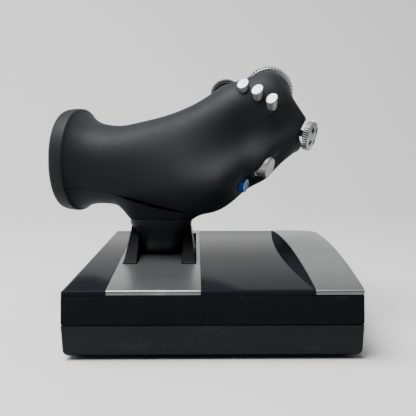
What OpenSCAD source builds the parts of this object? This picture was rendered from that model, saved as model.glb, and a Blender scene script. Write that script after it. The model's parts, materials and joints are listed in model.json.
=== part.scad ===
// Throttle unit of a two-piece flight joystick set.
// X right, Y away from the user, Z up; origin under the middle of the base, at foot level.

/* [Base] */
// Width of the base at its seam
base_w = 151; // [149:0.5:153]
// Depth of the base at its seam
base_d = 194; // [193:0.5:196]
// Height of the flat deck above the table
deck_z = 35.6; // [35.2:0.1:36.2]
// Height of the seam between the two base shells
seam_z = 18; // [17.5:0.1:18.4]
// Wall thickness of the base shells
wall = 2.5; // [2.2:0.1:2.8]
// Height of the arch of the right strip above the deck
arch_rise = 5; // [3:0.5:6]

/* [Lever] */
// Middle plane of the lever, between its two fins
lever_x = -29.35; // [-29.8:0.05:-29]
// Travel of the lever along the deck
travel = 56; // [50:0.5:56]
// Gap between a fin and the edges of its slot
slot_gap = 0.5; // [0.3:0.1:0.7]
// Thickness of one fin
fin_t = 7.4; // [7:0.1:7.6]

/* [Grip] */
// Wall thickness of the grip shells
grip_wall = 2.4; // [2.2:0.1:2.6]
// Sections made between two key sections of the grip
steps = 2; // [2:1:3]
// Gap between the two grip shells at their seam, in degrees around the section
seam_gap = 0.5; // [0.3:0.1:0.8]

/* [Controls] */
// Radius of the three small buttons
small_r = 3.35; // [3:0.05:3.6]
// Radius of the silver button
silver_r = 6.5; // [6.2:0.1:6.7]
// Radius of the blue button
blue_r = 4.8; // [4.6:0.1:5]
// Radius of the index button
index_r = 7.4; // [7:0.1:7.6]
// Radius of the hat switch cap
hat_r = 8.9; // [8.5:0.1:9.2]
// Radius of the thumb dial
dial_r = 15.2; // [14.8:0.1:15.5]

/* [Hidden] */
$fn = 48;
e = 0.01;

// ---- base layout ----
foot_h = 1.6;
floor_t = 2.4;
deck_t = 2.4;
floor_z = foot_h + floor_t;
half_w = base_w / 2;
half_d = base_d / 2;
rear_left_x = -half_w + 9.5;
corner_r = 22;
strip_t = 1;
strip_x = [-52.9, -5.8];
side_edge_front = 51;
side_edge_rear = 46.6;
fin_out = 20.6;
slot_y = [-29, 86.3];
case_screw_at = [[-66, -84], [66, -84], [-59.5, 84], [57, 78], [4, -84], [4, 84]];
foot_at = [[-56, -70], [56, -66], [-52, 66], [40, 72], [0, 0]];

// ---- lever mechanism layout ----
rod_r = 3;
rod_z = 18;
rod_dx = 9;
rod_y = [-39.5, 92.5];
bush_r = 4.5;
bush_l = 10;
bush_bore = rod_r + 0.05;
carriage_y = [-27, 28];
carriage_z = [8.5, 24];
carriage_hx = fin_out + 0.5;
clamp_y = [[-40, -32], [86.5, 93]];
tooth_n = 22;
pitch_r = tooth_n / 2;
tooth_pitch = 2 * PI * pitch_r / tooth_n;
rack_screw_y = [-6, 8];
rack_x = lever_x + carriage_hx;
rack_pitch_x = -4;
rack_z = [14, 21];
sensor_at = [rack_pitch_x + pitch_r, 28];
pinion_z = [14.6, 20.6];
bracket_z = 11;
board_z = 11;
board_box = [[26, -60], [68, 86]];
board_screw_at = [[30, -55], [64, -55], [30, 40], [64, 60]];
weight_screw_at = [[47, -44], [47, 50]];
socket_x = 40;
socket_r = 4.7;
socket_z = 18;

// ---- grip: key sections along X ----
// [x, y, z, turn, top, bottom, near, far, belly, seam angle]
KEYS = [
    [-86.6, 18.6, 92.5, 17, 2, 2, 2, 2, 0, 120],
    [-86.0, 18.5, 92.5, 17, 27, 27, 27, 27, 0, 120],
    [-84.6, 18.0, 92.5, 17, 30.6, 30.6, 30.6, 30.6, 0, 120],
    [-79.0, 16.2, 92.5, 17, 31.2, 31.2, 31.2, 31.2, 0, 120],
    [-77.6, 15.9, 92.4, 17, 30.2, 30.4, 30.4, 30.4, 0, 120],
    [-73, 14.5, 92, 16, 26.4, 27.6, 27, 27, 0, 121],
    [-66, 12.5, 91, 14, 23.6, 25, 24.5, 24.5, 0, 123],
    [-55, 9.5, 90, 12, 23.3, 24.2, 23.5, 23.5, 0, 130],
    [-40, 6, 90.5, 10, 25.6, 25.5, 24, 24, 1, 142],
    [-25, 3.5, 92, 7, 28, 29, 25, 25, 4, 154],
    [-10, 1.5, 95, 4, 31, 34.5, 25, 25, 8, 158],
    [3, 0, 98, 0, 35.5, 36, 24, 24, 9, 157],
    [12, -1, 102, 0, 36.5, 35, 22, 22, 7, 158],
    [22, -2, 107, 0, 34.5, 31, 19, 19, 3, 160],
    [32, -3, 111, -5, 33.5, 30, 17, 17, 0, 160],
    [41, -4, 113, -8, 28, 22, 15, 15, 0, 150],
    [47.5, -5, 112, -15, 18.5, 15.5, 12.5, 12.5, 0, 138],
    [51.6, -6.1, 110, -22, 11.4, 11, 11, 11, 0, 126],
    [52.4, -6.3, 109.8, -24, 9.6, 9.6, 9.6, 9.6, 0, 126],
    [52.7, -6.4, 109.8, -24, 2, 2, 2, 2, 0, 126]
];
key_n = len(KEYS) - 1;
section_n = key_n * steps;
far_seam = -84;
x_first = KEYS[0][0];
x_last = KEYS[key_n][0];

// ---- controls: [face centre, azimuth, elevation, radius, cap height, travel] ----
BUTTONS = [
    [[18.6, -15.5, 138.2], -98, 43, small_r, 7, 1],
    [[26.7, -19, 134.8], -98, 43, small_r, 7, 1],
    [[34.8, -21, 129.7], -98, 43, small_r, 7, 1],
    [[34.8, -17.6, 89.7], -26, -16, silver_r, 6.5, 1.4],
    [[21.1, -15.6, 79.3], -26, -12, blue_r, 6.5, 1.2],
    [[9.8, 19, 133], 95, 15, index_r, 7, 1.6]
];
HAT = [[60.7, -10.6, 107.4], -26, -14, hat_r];
DIAL = [[35.8, 15.6, 134.6], 90, 8, dial_r];
flange_h = 1.2;
switch_h = 3.4;
plunger_h = 0.8;
board_t = 1.4;
hat_pivot = -14;
dial_h = 4.6;

// ---- column and funnel ----
column_y = 8;
column_top = 62;
web_hx = 13.2;
grip_screw_at = [[-64, 11, 66], [-4, 6, 62], [24, -2, 77]];
grip_split_z = 86;
column_screw_dx = 9;

// ======== helpers ========
module box(a, b) {
    translate(a)
        cube(b - a);
}

module at(c) {
    translate(c[0])
        rotate([0, 90 - c[2], c[1]])
            children();
}

// Screw standing on its tip, head on top: p is the middle of the head's underside
module screw(p, r, length, head_r, head_h) {
    translate(p)
        difference() {
            union() {
                translate([0, 0, -length])
                    cylinder(r = r, h = length);
                cylinder(r = head_r, h = head_h);
            }
            for (a = [0, 90])
                rotate(a)
                    translate([-head_r * 0.6, -0.35, head_h * 0.4])
                        cube([head_r * 1.2, 0.7, head_h]);
        }
}

module screw_from_below(p, r, length, head_r, head_h) {
    translate(p)
        mirror([0, 0, 1])
            screw([0, 0, 0], r, length, head_r, head_h);
}

module plan(inset, z0, z1) {
    translate([0, 0, z0]) {
        linear_extrude(z1 - z0)
            polygon([
                [-half_w + inset, -half_d + inset],
                [half_w - inset, -half_d + inset],
                [half_w - inset, half_d - corner_r],
                [half_w - corner_r, half_d - inset],
                [rear_left_x + inset, half_d - inset]
            ]);
        translate([half_w - corner_r, half_d - corner_r, 0])
            cylinder(r = corner_r - inset, h = z1 - z0, $fn = 96);
    }
}

// Slab whose top follows the long arch of the right strip, lowered by drop
module arch_slab(x0, x1, drop) {
    arch_r = (half_d * half_d + arch_rise * arch_rise) / (2 * arch_rise);
    intersection() {
        box([x0, -half_d, deck_z - 1], [x1, half_d, deck_z + arch_rise + 1]);
        translate([x0, 0, deck_z + arch_rise - arch_r - drop])
            rotate([0, 90, 0])
                cylinder(r = arch_r, h = x1 - x0, $fn = 200);
    }
}

// Region of the right strip: its left edge leans in toward the rear
module side_region(shift) {
    translate([0, 0, deck_z - 4])
        linear_extrude(14)
            polygon([
                [side_edge_front + shift, -half_d - 1],
                [half_w + 1, -half_d - 1],
                [half_w + 1, half_d + 1],
                [side_edge_rear + shift, half_d + 1]
            ]);
}

module lever_slots(z0, z1) {
    for (s = [-1, 1])
        box([lever_x + s * (fin_out - fin_t / 2) - fin_t / 2 - slot_gap, slot_y[0], z0],
            [lever_x + s * (fin_out - fin_t / 2) + fin_t / 2 + slot_gap, slot_y[1], z1]);
}

// ======== base ========
module base_upper_shell() {
    color("#1d1f22")
        difference() {
            union() {
                difference() {
                    plan(0, seam_z + 0.2, deck_z);
                    plan(wall, seam_z, deck_z - deck_t);
                }
                for (p = case_screw_at)
                    translate([p[0], p[1], seam_z])
                        cylinder(r = 4, h = deck_z - deck_t - seam_z + 0.5);
                intersection() {
                    arch_slab(44, half_w, strip_t);
                    plan(0, deck_z - 2, deck_z + 8);
                }
            }
            box([strip_x[0], -half_d - 1, deck_z - strip_t], [strip_x[1], half_d + 1, deck_z + 1]);
            box([strip_x[0], -half_d - 1, deck_z - 2.6], [strip_x[1], -half_d + 0.8, deck_z + 1]);
            lever_slots(seam_z, deck_z + 1);
            intersection() {
                side_region(0);
                box([40, -half_d - 1, deck_z - 2.6], [half_w + 1, -half_d + 0.8, deck_z + 1]);
            }
            intersection() {
                side_region(0);
                difference() {
                    box([40, -half_d - 1, deck_z - 0.95], [half_w + 1, half_d + 1, deck_z + 8]);
                    arch_slab(39, half_w + 2, strip_t);
                }
            }
            for (p = case_screw_at)
                translate([p[0], p[1], seam_z - 1])
                    cylinder(r = 1.5, h = 9);
            translate([socket_x, half_d - wall - 1, socket_z])
                rotate([-90, 0, 0])
                    cylinder(r = 7.2, h = wall + 2);
        }
}

module base_lower_shell() {
    color("#1d1f22")
        difference() {
            union() {
                difference() {
                    plan(0, foot_h, seam_z);
                    plan(wall, floor_z, seam_z + 1);
                }
                for (p = case_screw_at)
                    translate([p[0], p[1], floor_z - e])
                        cylinder(r = 4.6, h = seam_z - floor_z + e);
                for (y = clamp_y)
                    box([lever_x - 20, y[0], floor_z - e], [lever_x + 20, y[1], rod_z - 0.1]);
                for (p = board_screw_at)
                    translate([p[0], p[1], floor_z - e])
                        cylinder(r = 3.2, h = board_z - floor_z + e);
                for (y = [-8, 8])
                    translate([sensor_at[0] + 12, sensor_at[1] + y, floor_z - e])
                        cylinder(r = 2.8, h = bracket_z - floor_z + e);
            }
            for (p = case_screw_at)
                translate([p[0], p[1], 0]) {
                    cylinder(r = 1.6, h = seam_z + 1);
                    cylinder(r = 3.2, h = 8);
                }
            for (p = foot_at)
                translate([p[0], p[1], 0])
                    cylinder(r = 6.1, h = foot_h + 0.8);
            for (s = [-1, 1])
                for (y = clamp_y)
                    translate([lever_x + s * rod_dx, y[0] - 1, rod_z])
                        rotate([-90, 0, 0])
                            cylinder(r = rod_r, h = 10);
            for (s = [-1, 1])
                for (y = clamp_y)
                    translate([lever_x + s * 16, (y[0] + y[1]) / 2, 8])
                        cylinder(r = 1.25, h = 12);
            for (p = board_screw_at)
                translate([p[0], p[1], floor_z])
                    cylinder(r = 1.25, h = 10);
            for (p = weight_screw_at)
                translate([p[0], p[1], floor_z - 1.4])
                    cylinder(r = 1.25, h = 3);
            for (y = [-8, 8])
                translate([sensor_at[0] + 12, sensor_at[1] + y, floor_z])
                    cylinder(r = 1, h = 10);
            translate([socket_x, half_d - wall - 1, socket_z])
                rotate([-90, 0, 0])
                    cylinder(r = 7.2, h = wall + 2);
        }
}

module lever_strip() {
    color("silver")
        difference() {
            union() {
                box([strip_x[0] + 0.1, -half_d, deck_z - strip_t], [strip_x[1] - 0.1, half_d, deck_z + 0.1]);
                box([strip_x[0] + 0.1, -half_d, deck_z - 2.5], [strip_x[1] - 0.1, -half_d + 0.8, deck_z]);
            }
            lever_slots(deck_z - 4, deck_z + 1);
        }
}

module side_strip() {
    color("silver")
        union() {
            intersection() {
                difference() {
                    arch_slab(44, half_w, 0);
                    arch_slab(43, half_w + 1, strip_t);
                    box([40, -half_d, deck_z - 5], [half_w + 1, half_d, deck_z - 0.9]);
                }
                side_region(0.1);
                plan(0, deck_z - 2, deck_z + 8);
            }
            intersection() {
                side_region(0.1);
                box([40, -half_d, deck_z - 2.5], [half_w, -half_d + 0.8, deck_z]);
            }
        }
}

module rubber_feet() {
    color("#161616")
        for (p = foot_at)
            translate([p[0], p[1], 0])
                cylinder(r = 6, h = foot_h + 0.8);
}

module case_screws() {
    color("dimgray")
        for (p = case_screw_at)
            screw_from_below([p[0], p[1], 8], 1.45, 18, 2.8, 2);
}

module base_weight() {
    color("slategray")
        difference() {
            box([29, -50, floor_z], [65, 56, floor_z + 4]);
            for (p = board_screw_at)
                translate([p[0], p[1], floor_z - 1])
                    cylinder(r = 4, h = 6);
            for (p = weight_screw_at)
                translate([p[0], p[1], floor_z - 1])
                    cylinder(r = 1.5, h = 6);
        }
}

module weight_screws() {
    color("dimgray")
        for (p = weight_screw_at)
            screw([p[0], p[1], floor_z + 4], 1.2, 5, 2.6, 1.6);
}

module main_board() {
    color("darkgreen")
        difference() {
            box([board_box[0][0], board_box[0][1], board_z], [board_box[1][0], 62, board_z + 1.6]);
            for (p = board_screw_at)
                translate([p[0], p[1], board_z - 1])
                    cylinder(r = 1.4, h = 4);
        }
    color("darkgreen")
        box([socket_x - 10, 62, board_z], [socket_x + 10, board_box[1][1], board_z + 1.6]);
}

module board_chips() {
    top = board_z + 1.6;
    color("#202020")
        box([42, -30, top], [54, -18, top + 1.6]);
    color("#202020")
        box([36, 4, top], [41, 10, top + 1.4]);
    color("ivory")
        box([28.5, 14, top], [34, 30, top + 6]);
    color("ivory")
        box([28.5, -24, top], [34, -8, top + 6]);
    color("silver")
        box([44, -8, top], [54, -4, top + 3.4]);
    color("slategray")
        for (y = [20, 32])
            translate([56, y, top])
                cylinder(r = 3, h = 7);
}

module board_screws() {
    color("dimgray")
        for (p = board_screw_at)
            screw([p[0], p[1], board_z + 1.6], 1.2, 6, 2.3, 1.5);
}

module link_socket() {
    color("#26282b")
        difference() {
            union() {
                box([socket_x - 7, half_d - 15, board_z + 1.6], [socket_x + 7, half_d - wall - 0.2, 25]);
                translate([socket_x, half_d - wall - 1, socket_z])
                    rotate([-90, 0, 0])
                        cylinder(r = 7, h = wall + 0.6);
            }
            translate([socket_x, half_d - 8, socket_z])
                rotate([-90, 0, 0])
                    cylinder(r = socket_r, h = 20);
            for (a = [30:60:330])
                translate([socket_x + 2.6 * cos(a), half_d - 12, socket_z + 2.6 * sin(a)])
                    rotate([-90, 0, 0])
                        cylinder(r = 0.5, h = 8, $fn = 16);
        }
}

// ======== lever mechanism ========
module guide_rod(s) {
    color("silver")
        translate([lever_x + s * rod_dx, rod_y[0], rod_z])
            rotate([-90, 0, 0])
                cylinder(r = rod_r, h = rod_y[1] - rod_y[0]);
}

module rod_clamp(y) {
    color("#2b2d30")
        difference() {
            box([lever_x - 19.5, y[0] + 0.3, rod_z + 0.1], [lever_x + 19.5, y[1] - 0.3, rod_z + 4.6]);
            for (s = [-1, 1])
                translate([lever_x + s * rod_dx, y[0] - 1, rod_z])
                    rotate([-90, 0, 0])
                        cylinder(r = rod_r, h = 10);
            for (s = [-1, 1])
                translate([lever_x + s * 16, (y[0] + y[1]) / 2, rod_z - 1]) {
                    cylinder(r = 1.5, h = 8);
                    translate([0, 0, 3.5])
                        cylinder(r = 2.6, h = 6);
                }
        }
}

module clamp_screws() {
    color("dimgray")
        for (s = [-1, 1])
            for (y = clamp_y)
                screw([lever_x + s * 16, (y[0] + y[1]) / 2, rod_z + 2.5], 1.2, 11, 2.4, 1.8);
}

module stop_pads() {
    color("#161616")
        for (y = [[clamp_y[0][1], carriage_y[0] - 0.3], [carriage_y[1] + travel + 0.3, clamp_y[1][0]]])
            box([lever_x - 4, y[0], 10], [lever_x + 4, y[1], 17]);
}

module sensor_bracket() {
    color("silver")
        difference() {
            box([sensor_at[0] - 8, sensor_at[1] - 11, bracket_z],
                [sensor_at[0] + 15, sensor_at[1] + 11, bracket_z + 1.2]);
            translate([sensor_at[0], sensor_at[1], bracket_z - 1])
                cylinder(r = 3.55, h = 4);
            for (y = [-8, 8])
                translate([sensor_at[0] + 12, sensor_at[1] + y, bracket_z - 1])
                    cylinder(r = 1.2, h = 4);
        }
}

module bracket_screws() {
    color("dimgray")
        for (y = [-8, 8])
            screw([sensor_at[0] + 12, sensor_at[1] + y, bracket_z + 1.2], 0.95, 6, 2, 1.3);
}

module lever_sensor() {
    color("seagreen")
        translate([sensor_at[0], sensor_at[1], 0]) {
            difference() {
                union() {
                    translate([0, 0, floor_z + 0.6])
                        cylinder(r = 8, h = bracket_z - floor_z - 0.6);
                    translate([0, 0, bracket_z - e])
                        cylinder(r = 3.5, h = 3.4);
                }
                translate([0, 0, bracket_z - 4.3])
                    cylinder(r = 1.55, h = 9);
            }
            for (x = [-3, 0, 3])
                box([x - 0.4, 7, floor_z + 3], [x + 0.4, 11, floor_z + 3.5]);
        }
}

module sensor_nut() {
    color("silver")
        translate([sensor_at[0], sensor_at[1], bracket_z + 1.2])
            difference() {
                cylinder(r = 5.2, h = 1.6, $fn = 6);
                translate([0, 0, -1])
                    cylinder(r = 3.5, h = 4);
            }
}

// Gear outline: trapezoid teeth on a pitch circle
function gear_points(n, r) = [
    for (i = [0:n - 1], k = [0:3])
        let (
            radius = (k == 0 || k == 3) ? r - 1.15 : r + 0.8,
            half = (k == 0 || k == 3) ? 0.27 : 0.12,
            side = k < 2 ? -1 : 1,
            a = (i + side * half) * 360 / n
        )
        [radius * cos(a), radius * sin(a)]
];

module sensor_pinion() {
    color("ivory")
        translate([sensor_at[0], sensor_at[1], 0])
            difference() {
                union() {
                    translate([0, 0, pinion_z[0]])
                        linear_extrude(pinion_z[1] - pinion_z[0])
                            polygon(gear_points(tooth_n, pitch_r));
                    translate([0, 0, bracket_z - 4])
                        cylinder(r = 1.5, h = pinion_z[1] - bracket_z + 5);
                    translate([0, 0, pinion_z[1] - e])
                        cylinder(r = 4, h = 1.6);
                }
                translate([0, 0, pinion_z[1] + 1])
                    box([-0.5, -5, 0], [0.5, 5, 3]);
            }
}

function rack_points(n) = [
    for (i = [0:n - 1], k = [0:3])
        let (
            x = (k == 0 || k == 3) ? -1.15 : 0.8,
            half = (k == 0 || k == 3) ? 0.27 : 0.12,
            side = k < 2 ? -1 : 1
        )
        [x, (i + side * half) * tooth_pitch]
];

module lever_rack() {
    first = sensor_at[1] - 19.5 * tooth_pitch;
    color("ivory")
        difference() {
            union() {
                translate([rack_pitch_x, first, rack_z[0]])
                    linear_extrude(rack_z[1] - rack_z[0])
                        polygon(concat(rack_points(21), [
                            [-1.15, 20.5 * tooth_pitch],
                            [rack_x - rack_pitch_x + 0.1, 20.5 * tooth_pitch],
                            [rack_x - rack_pitch_x + 0.1, -0.5 * tooth_pitch],
                            [-1.15, -0.5 * tooth_pitch]
                        ]));
                box([rack_x + 0.1, -20, 9], [rack_x + 2.6, 22, rack_z[0] + 1]);
            }
            for (y = rack_screw_y)
                translate([rack_x - 1, y, 11.5])
                    rotate([0, 90, 0])
                        cylinder(r = 1.3, h = 6);
        }
}

module rack_screws() {
    color("dimgray")
        for (y = rack_screw_y)
            translate([rack_x + 2.6, y, 11.5])
                rotate([0, 90, 0])
                    screw([0, 0, 0], 1.2, 8, 2.2, 1.4);
}

module lever_carriage() {
    color("#2b2d30")
        difference() {
            box([lever_x - carriage_hx, carriage_y[0], carriage_z[0]],
                [lever_x + carriage_hx, carriage_y[1], carriage_z[1]]);
            for (s = [-1, 1]) {
                translate([lever_x + s * rod_dx, carriage_y[0] - 1, rod_z])
                    rotate([-90, 0, 0])
                        cylinder(r = rod_r + 0.5, h = 60);
                for (y = [carriage_y[0] - 1, carriage_y[1] - bush_l])
                    translate([lever_x + s * rod_dx, y, rod_z])
                        rotate([-90, 0, 0])
                            cylinder(r = bush_r, h = bush_l + 1);
                translate([lever_x + s * rod_dx, 0, carriage_z[0] - 1])
                    cylinder(r = 3, h = rod_z - carriage_z[0]);
                for (y = [-14, 16])
                    translate([lever_x + s * 17, y, carriage_z[0] - 1]) {
                        cylinder(r = 1.6, h = 20);
                        cylinder(r = 3, h = 4);
                    }
            }
            for (y = rack_screw_y)
                translate([rack_x - 5.6, y, 11.5])
                    rotate([0, 90, 0])
                        cylinder(r = 1.25, h = 7);
            box([lever_x - 4.5, -12, carriage_z[0] + 2], [lever_x + 4.5, 14, carriage_z[1] + 1]);
        }
}

module guide_bushes() {
    color("peru")
        for (s = [-1, 1])
            for (y = [carriage_y[0], carriage_y[1] - bush_l])
                translate([lever_x + s * rod_dx, y, rod_z])
                    rotate([-90, 0, 0])
                        difference() {
                            cylinder(r = bush_r, h = bush_l);
                            translate([0, 0, -1])
                                cylinder(r = bush_bore, h = bush_l + 2);
                        }
}

module friction_pads() {
    color("darkkhaki")
        for (s = [-1, 1])
            translate([lever_x + s * rod_dx, 0, rod_z - rod_r - 2.05])
                cylinder(r = 2.9, h = 2);
}

module friction_springs() {
    color("silver")
        for (s = [-1, 1])
            translate([lever_x + s * rod_dx, 0, carriage_z[0] + 1.5])
                linear_extrude(rod_z - rod_r - 2.05 - carriage_z[0] - 1.5, twist = -1080, slices = 24)
                    translate([2, 0])
                        circle(r = 0.42, $fn = 6);
}

module friction_plugs() {
    color("dimgray")
        for (s = [-1, 1])
            translate([lever_x + s * rod_dx, 0, carriage_z[0]])
                difference() {
                    cylinder(r = 2.95, h = 1.5);
                    box([-2, -0.4, -1], [2, 0.4, 0.7]);
                }
}

module fin(s) {
    translate([lever_x + s * (fin_out - fin_t / 2) - fin_t / 2, 0, 0])
        rotate([90, 0, 90])
            linear_extrude(fin_t)
                polygon([
                    [-28, carriage_z[1]], [29, carriage_z[1]], [29, 36], [26, 50], [24, 56],
                    [4, 56], [-8, 45], [-28, 36]
                ]);
}

module lever_column() {
    color("#18191b")
        difference() {
            union() {
                fin(-1);
                fin(1);
                box([lever_x - web_hx - 0.5, -4, 42], [lever_x + web_hx + 0.5, 24, 56]);
                translate([lever_x - web_hx - 0.5, 1, 42])
                    rotate([0, 90, 0])
                        cylinder(r = 5, h = 2 * web_hx + 1);
                box([lever_x - 17, -3, 56 - e], [lever_x + 17, 23, column_top]);
            }
            for (s = [-1, 1])
                for (y = [-14, 16])
                    translate([lever_x + s * 17, y, 20])
                        cylinder(r = 1.3, h = 16);
            for (s = [-1, 1])
                translate([lever_x + s * column_screw_dx, column_y, column_top - 12])
                    cylinder(r = 1.5, h = 20);
            translate([lever_x, column_y + 4, 30])
                cylinder(r = 4, h = 40);
        }
}

module carriage_screws() {
    color("dimgray")
        for (s = [-1, 1])
            for (y = [-14, 16])
                screw_from_below([lever_x + s * 17, y, carriage_z[0] + 3], 1.25, 20, 2.8, 2);
}

module column_screws() {
    color("dimgray")
        for (s = [-1, 1])
            screw([lever_x + s * column_screw_dx, column_y, 67.4], 1.45, 16, 2.8, 2);
}

// ======== grip ========
// Slope at key k: harmonic mean of the two neighbouring slopes, zero at a turning point
function key_slope(k) =
    let (
        a = (KEYS[max(k, 1)] - KEYS[max(k, 1) - 1]) / (KEYS[max(k, 1)][0] - KEYS[max(k, 1) - 1][0]),
        m = min(k, key_n - 1),
        b = (KEYS[m + 1] - KEYS[m]) / (KEYS[m + 1][0] - KEYS[m][0])
    )
    [for (i = [0:9]) a[i] * b[i] <= 0 ? 0 : 2 * a[i] * b[i] / (a[i] + b[i])];

function station(u) =
    let (
        k = min(floor(u), key_n - 1),
        t = u - k,
        h = KEYS[k + 1][0] - KEYS[k][0]
    )
    KEYS[k] * (2 * t * t * t - 3 * t * t + 1) + key_slope(k) * h * (t * t * t - 2 * t * t + t)
        + KEYS[k + 1] * (3 * t * t - 2 * t * t * t) + key_slope(k + 1) * h * (t * t * t - t * t);

function wrap(a) = a - 360 * round(a / 360);
function bump(a, mid, width) = exp(-pow(wrap(a - mid) / width, 2));
function rounded(c) = sign(c) * pow(abs(c), 0.91);

// Point at angle a around section u, measured from the top toward the near side, inset by the wall
function grip_point(u, a, inset) =
    let (
        s = station(u),
        x = min(max(s[0], x_first + inset), x_last - inset),
        tall = max((cos(a) >= 0 ? s[4] : s[5]) - inset, 0.4),
        wide = max((sin(a) >= 0 ? s[6] : s[7]) - inset, 0.4),
        w = rounded(sin(a)) * wide + s[8] * (bump(a, 118, 38) - 0.35 * bump(a, 72, 24))
    )
    [x - sin(s[3]) * w, s[1] - cos(s[3]) * w, s[2] + rounded(cos(a)) * tall];

function seam_at(u) = station(u)[9];

// Whole grip as a solid, inset from its outer face
module grip_solid(inset, sides) {
    points = [
        for (i = [0:section_n], j = [0:sides - 1])
            grip_point(i / steps, j * 360 / sides, inset)
    ];
    walls = [
        for (i = [0:section_n - 1], j = [0:sides - 1], k = [0, 1])
            let (a = i * sides + j, b = i * sides + (j + 1) % sides)
            k == 0 ? [a, a + sides, b] : [b, a + sides, b + sides]
    ];
    last = section_n * sides;
    polyhedron(
        points = points,
        faces = concat(walls,
            [[for (j = [0:sides - 1]) j]],
            [[for (j = [sides - 1:-1:0]) last + j]]),
        convexity = 6);
}

// Shell between two angles of the section, open along both seams; outer and inner are insets of its faces
module grip_band(top, sides, outer, inner) {
    ring = 2 * (sides + 1);
    points = [
        for (i = [0:section_n], j = [0:ring - 1])
            let (
                u = i / steps,
                a0 = top ? far_seam + seam_gap : seam_at(u) + seam_gap,
                a1 = top ? seam_at(u) - seam_gap : 360 + far_seam - seam_gap,
                n = j <= sides ? j : ring - 1 - j
            )
            grip_point(u, a0 + (a1 - a0) * n / sides, j <= sides ? outer : inner)
    ];
    walls = [
        for (i = [0:section_n - 1], j = [0:ring - 1], k = [0, 1])
            let (a = i * ring + j, b = i * ring + (j + 1) % ring)
            k == 0 ? [a, a + ring, b] : [b, a + ring, b + ring]
    ];
    last = section_n * ring;
    caps = [
        for (j = [0:sides - 1], k = [0:3])
            k == 0 ? [j, j + 1, ring - 1 - j]
                : k == 1 ? [j + 1, ring - 2 - j, ring - 1 - j]
                : k == 2 ? [last + j + 1, last + j, last + ring - 1 - j]
                : [last + j + 1, last + ring - 1 - j, last + ring - 2 - j]
    ];
    polyhedron(points = points, faces = concat(walls, caps), convexity = 8);
}

// Funnel that gathers the underside of the grip around the column
FUNNEL = [
    [54.4, -29.3, 18.2, 9, 16.5], [57, -28.7, 21, 9, 17.5], [60, -28.2, 26, 8.5, 18.5],
    [63, -28.6, 31.5, 8, 19], [66.5, -29, 35.5, 7.5, 19], [72, -29, 36, 7, 18]
];

module funnel(sides) {
    n = len(FUNNEL);
    points = [
        for (f = FUNNEL, j = [0:sides - 1])
            let (a = j * 360 / sides)
            [
                f[1] + f[2] * sign(cos(a)) * pow(abs(cos(a)), 0.7),
                f[3] + f[4] * sign(sin(a)) * pow(abs(sin(a)), 0.7),
                f[0]
            ]
    ];
    walls = [
        for (i = [0:n - 2], j = [0:sides - 1], k = [0, 1])
            let (a = i * sides + j, b = i * sides + (j + 1) % sides)
            k == 0 ? [a, a + sides, b] : [b, a + sides, b + sides]
    ];
    last = (n - 1) * sides;
    polyhedron(
        points = points,
        faces = concat(walls, [[for (j = [0:sides - 1]) j]], [[for (j = [sides - 1:-1:0]) last + j]]),
        convexity = 4);
}

// ---- button wells, in the frame of one button: face at 0, inside of the grip below ----
function flange_z(b) = -b[4] - flange_h;
function plunger_z(b) = flange_z(b) - b[5] - 0.1;
function board_top(b) = plunger_z(b) - plunger_h - switch_h;

module well_body(b) {
    at(b)
        translate([0, 0, board_top(b)])
            cylinder(r = b[3] + 2.6, h = 3 - board_top(b), $fn = 32);
}

module well_bore(b) {
    at(b) {
        translate([0, 0, board_top(b) - 4])
            cylinder(r = b[3] + 1.2, h = 4.1 - b[4] - board_top(b), $fn = 32);
        translate([0, 0, -b[4] - 1])
            cylinder(r = b[3] + 0.35, h = 4, $fn = 32);
        translate([0, 0, -b[4] + 2.5])
            cylinder(r = b[3] + 0.75, h = 12, $fn = 32);
    }
}

module grip_top_shell() {
    color("#2e3033")
        resize([0, 0, 0])
            difference() {
                union() {
                    grip_band(true, 26, 0, grip_wall);
                    intersection() {
                        grip_solid(0.3, 36);
                        union() {
                            for (b = BUTTONS)
                                well_body(b);
                            for (p = grip_screw_at)
                                translate([p[0], p[1], grip_split_z])
                                    cylinder(r = 3.6, h = 60, $fn = 24);
                            at(DIAL)
                                translate([0, 0, -9])
                                    cylinder(r = dial_r + 3, h = 6, $fn = 48);
                        }
                    }
                    at(BUTTONS[5])
                        translate([0, 0, -15])
                            cylinder(r = index_r + 2.6, h = 11.5, $fn = 32);
                    at(HAT)
                        translate([0, 0, -15])
                            cylinder(r = 9.6, h = 8.6, $fn = 40);
                    at(DIAL)
                        translate([0, 0, -20])
                            cylinder(r = 13.4, h = 20 - dial_h - 0.5, $fn = 48);
                }
                for (b = BUTTONS)
                    well_bore(b);
                for (p = grip_screw_at)
                    translate([p[0], p[1], 60])
                        cylinder(r = 1.5, h = grip_split_z - 60 + 9, $fn = 24);
                at(HAT) {
                    translate([0, 0, -30])
                        cylinder(r = 7.05, h = 40, $fn = 40);
                    translate([0, 0, -6.5])
                        cylinder(r = 16, h = 20, $fn = 40);
                }
                at(DIAL) {
                    translate([0, 0, -dial_h - 0.5])
                        cylinder(r = dial_r + 0.6, h = 20, $fn = 64);
                    translate([0, 0, -30])
                        cylinder(r = 11.4, h = 30 - dial_h - 2.5, $fn = 40);
                    translate([0, 0, -10])
                        cylinder(r = 3.6, h = 10, $fn = 32);
                }
            }
}

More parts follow.
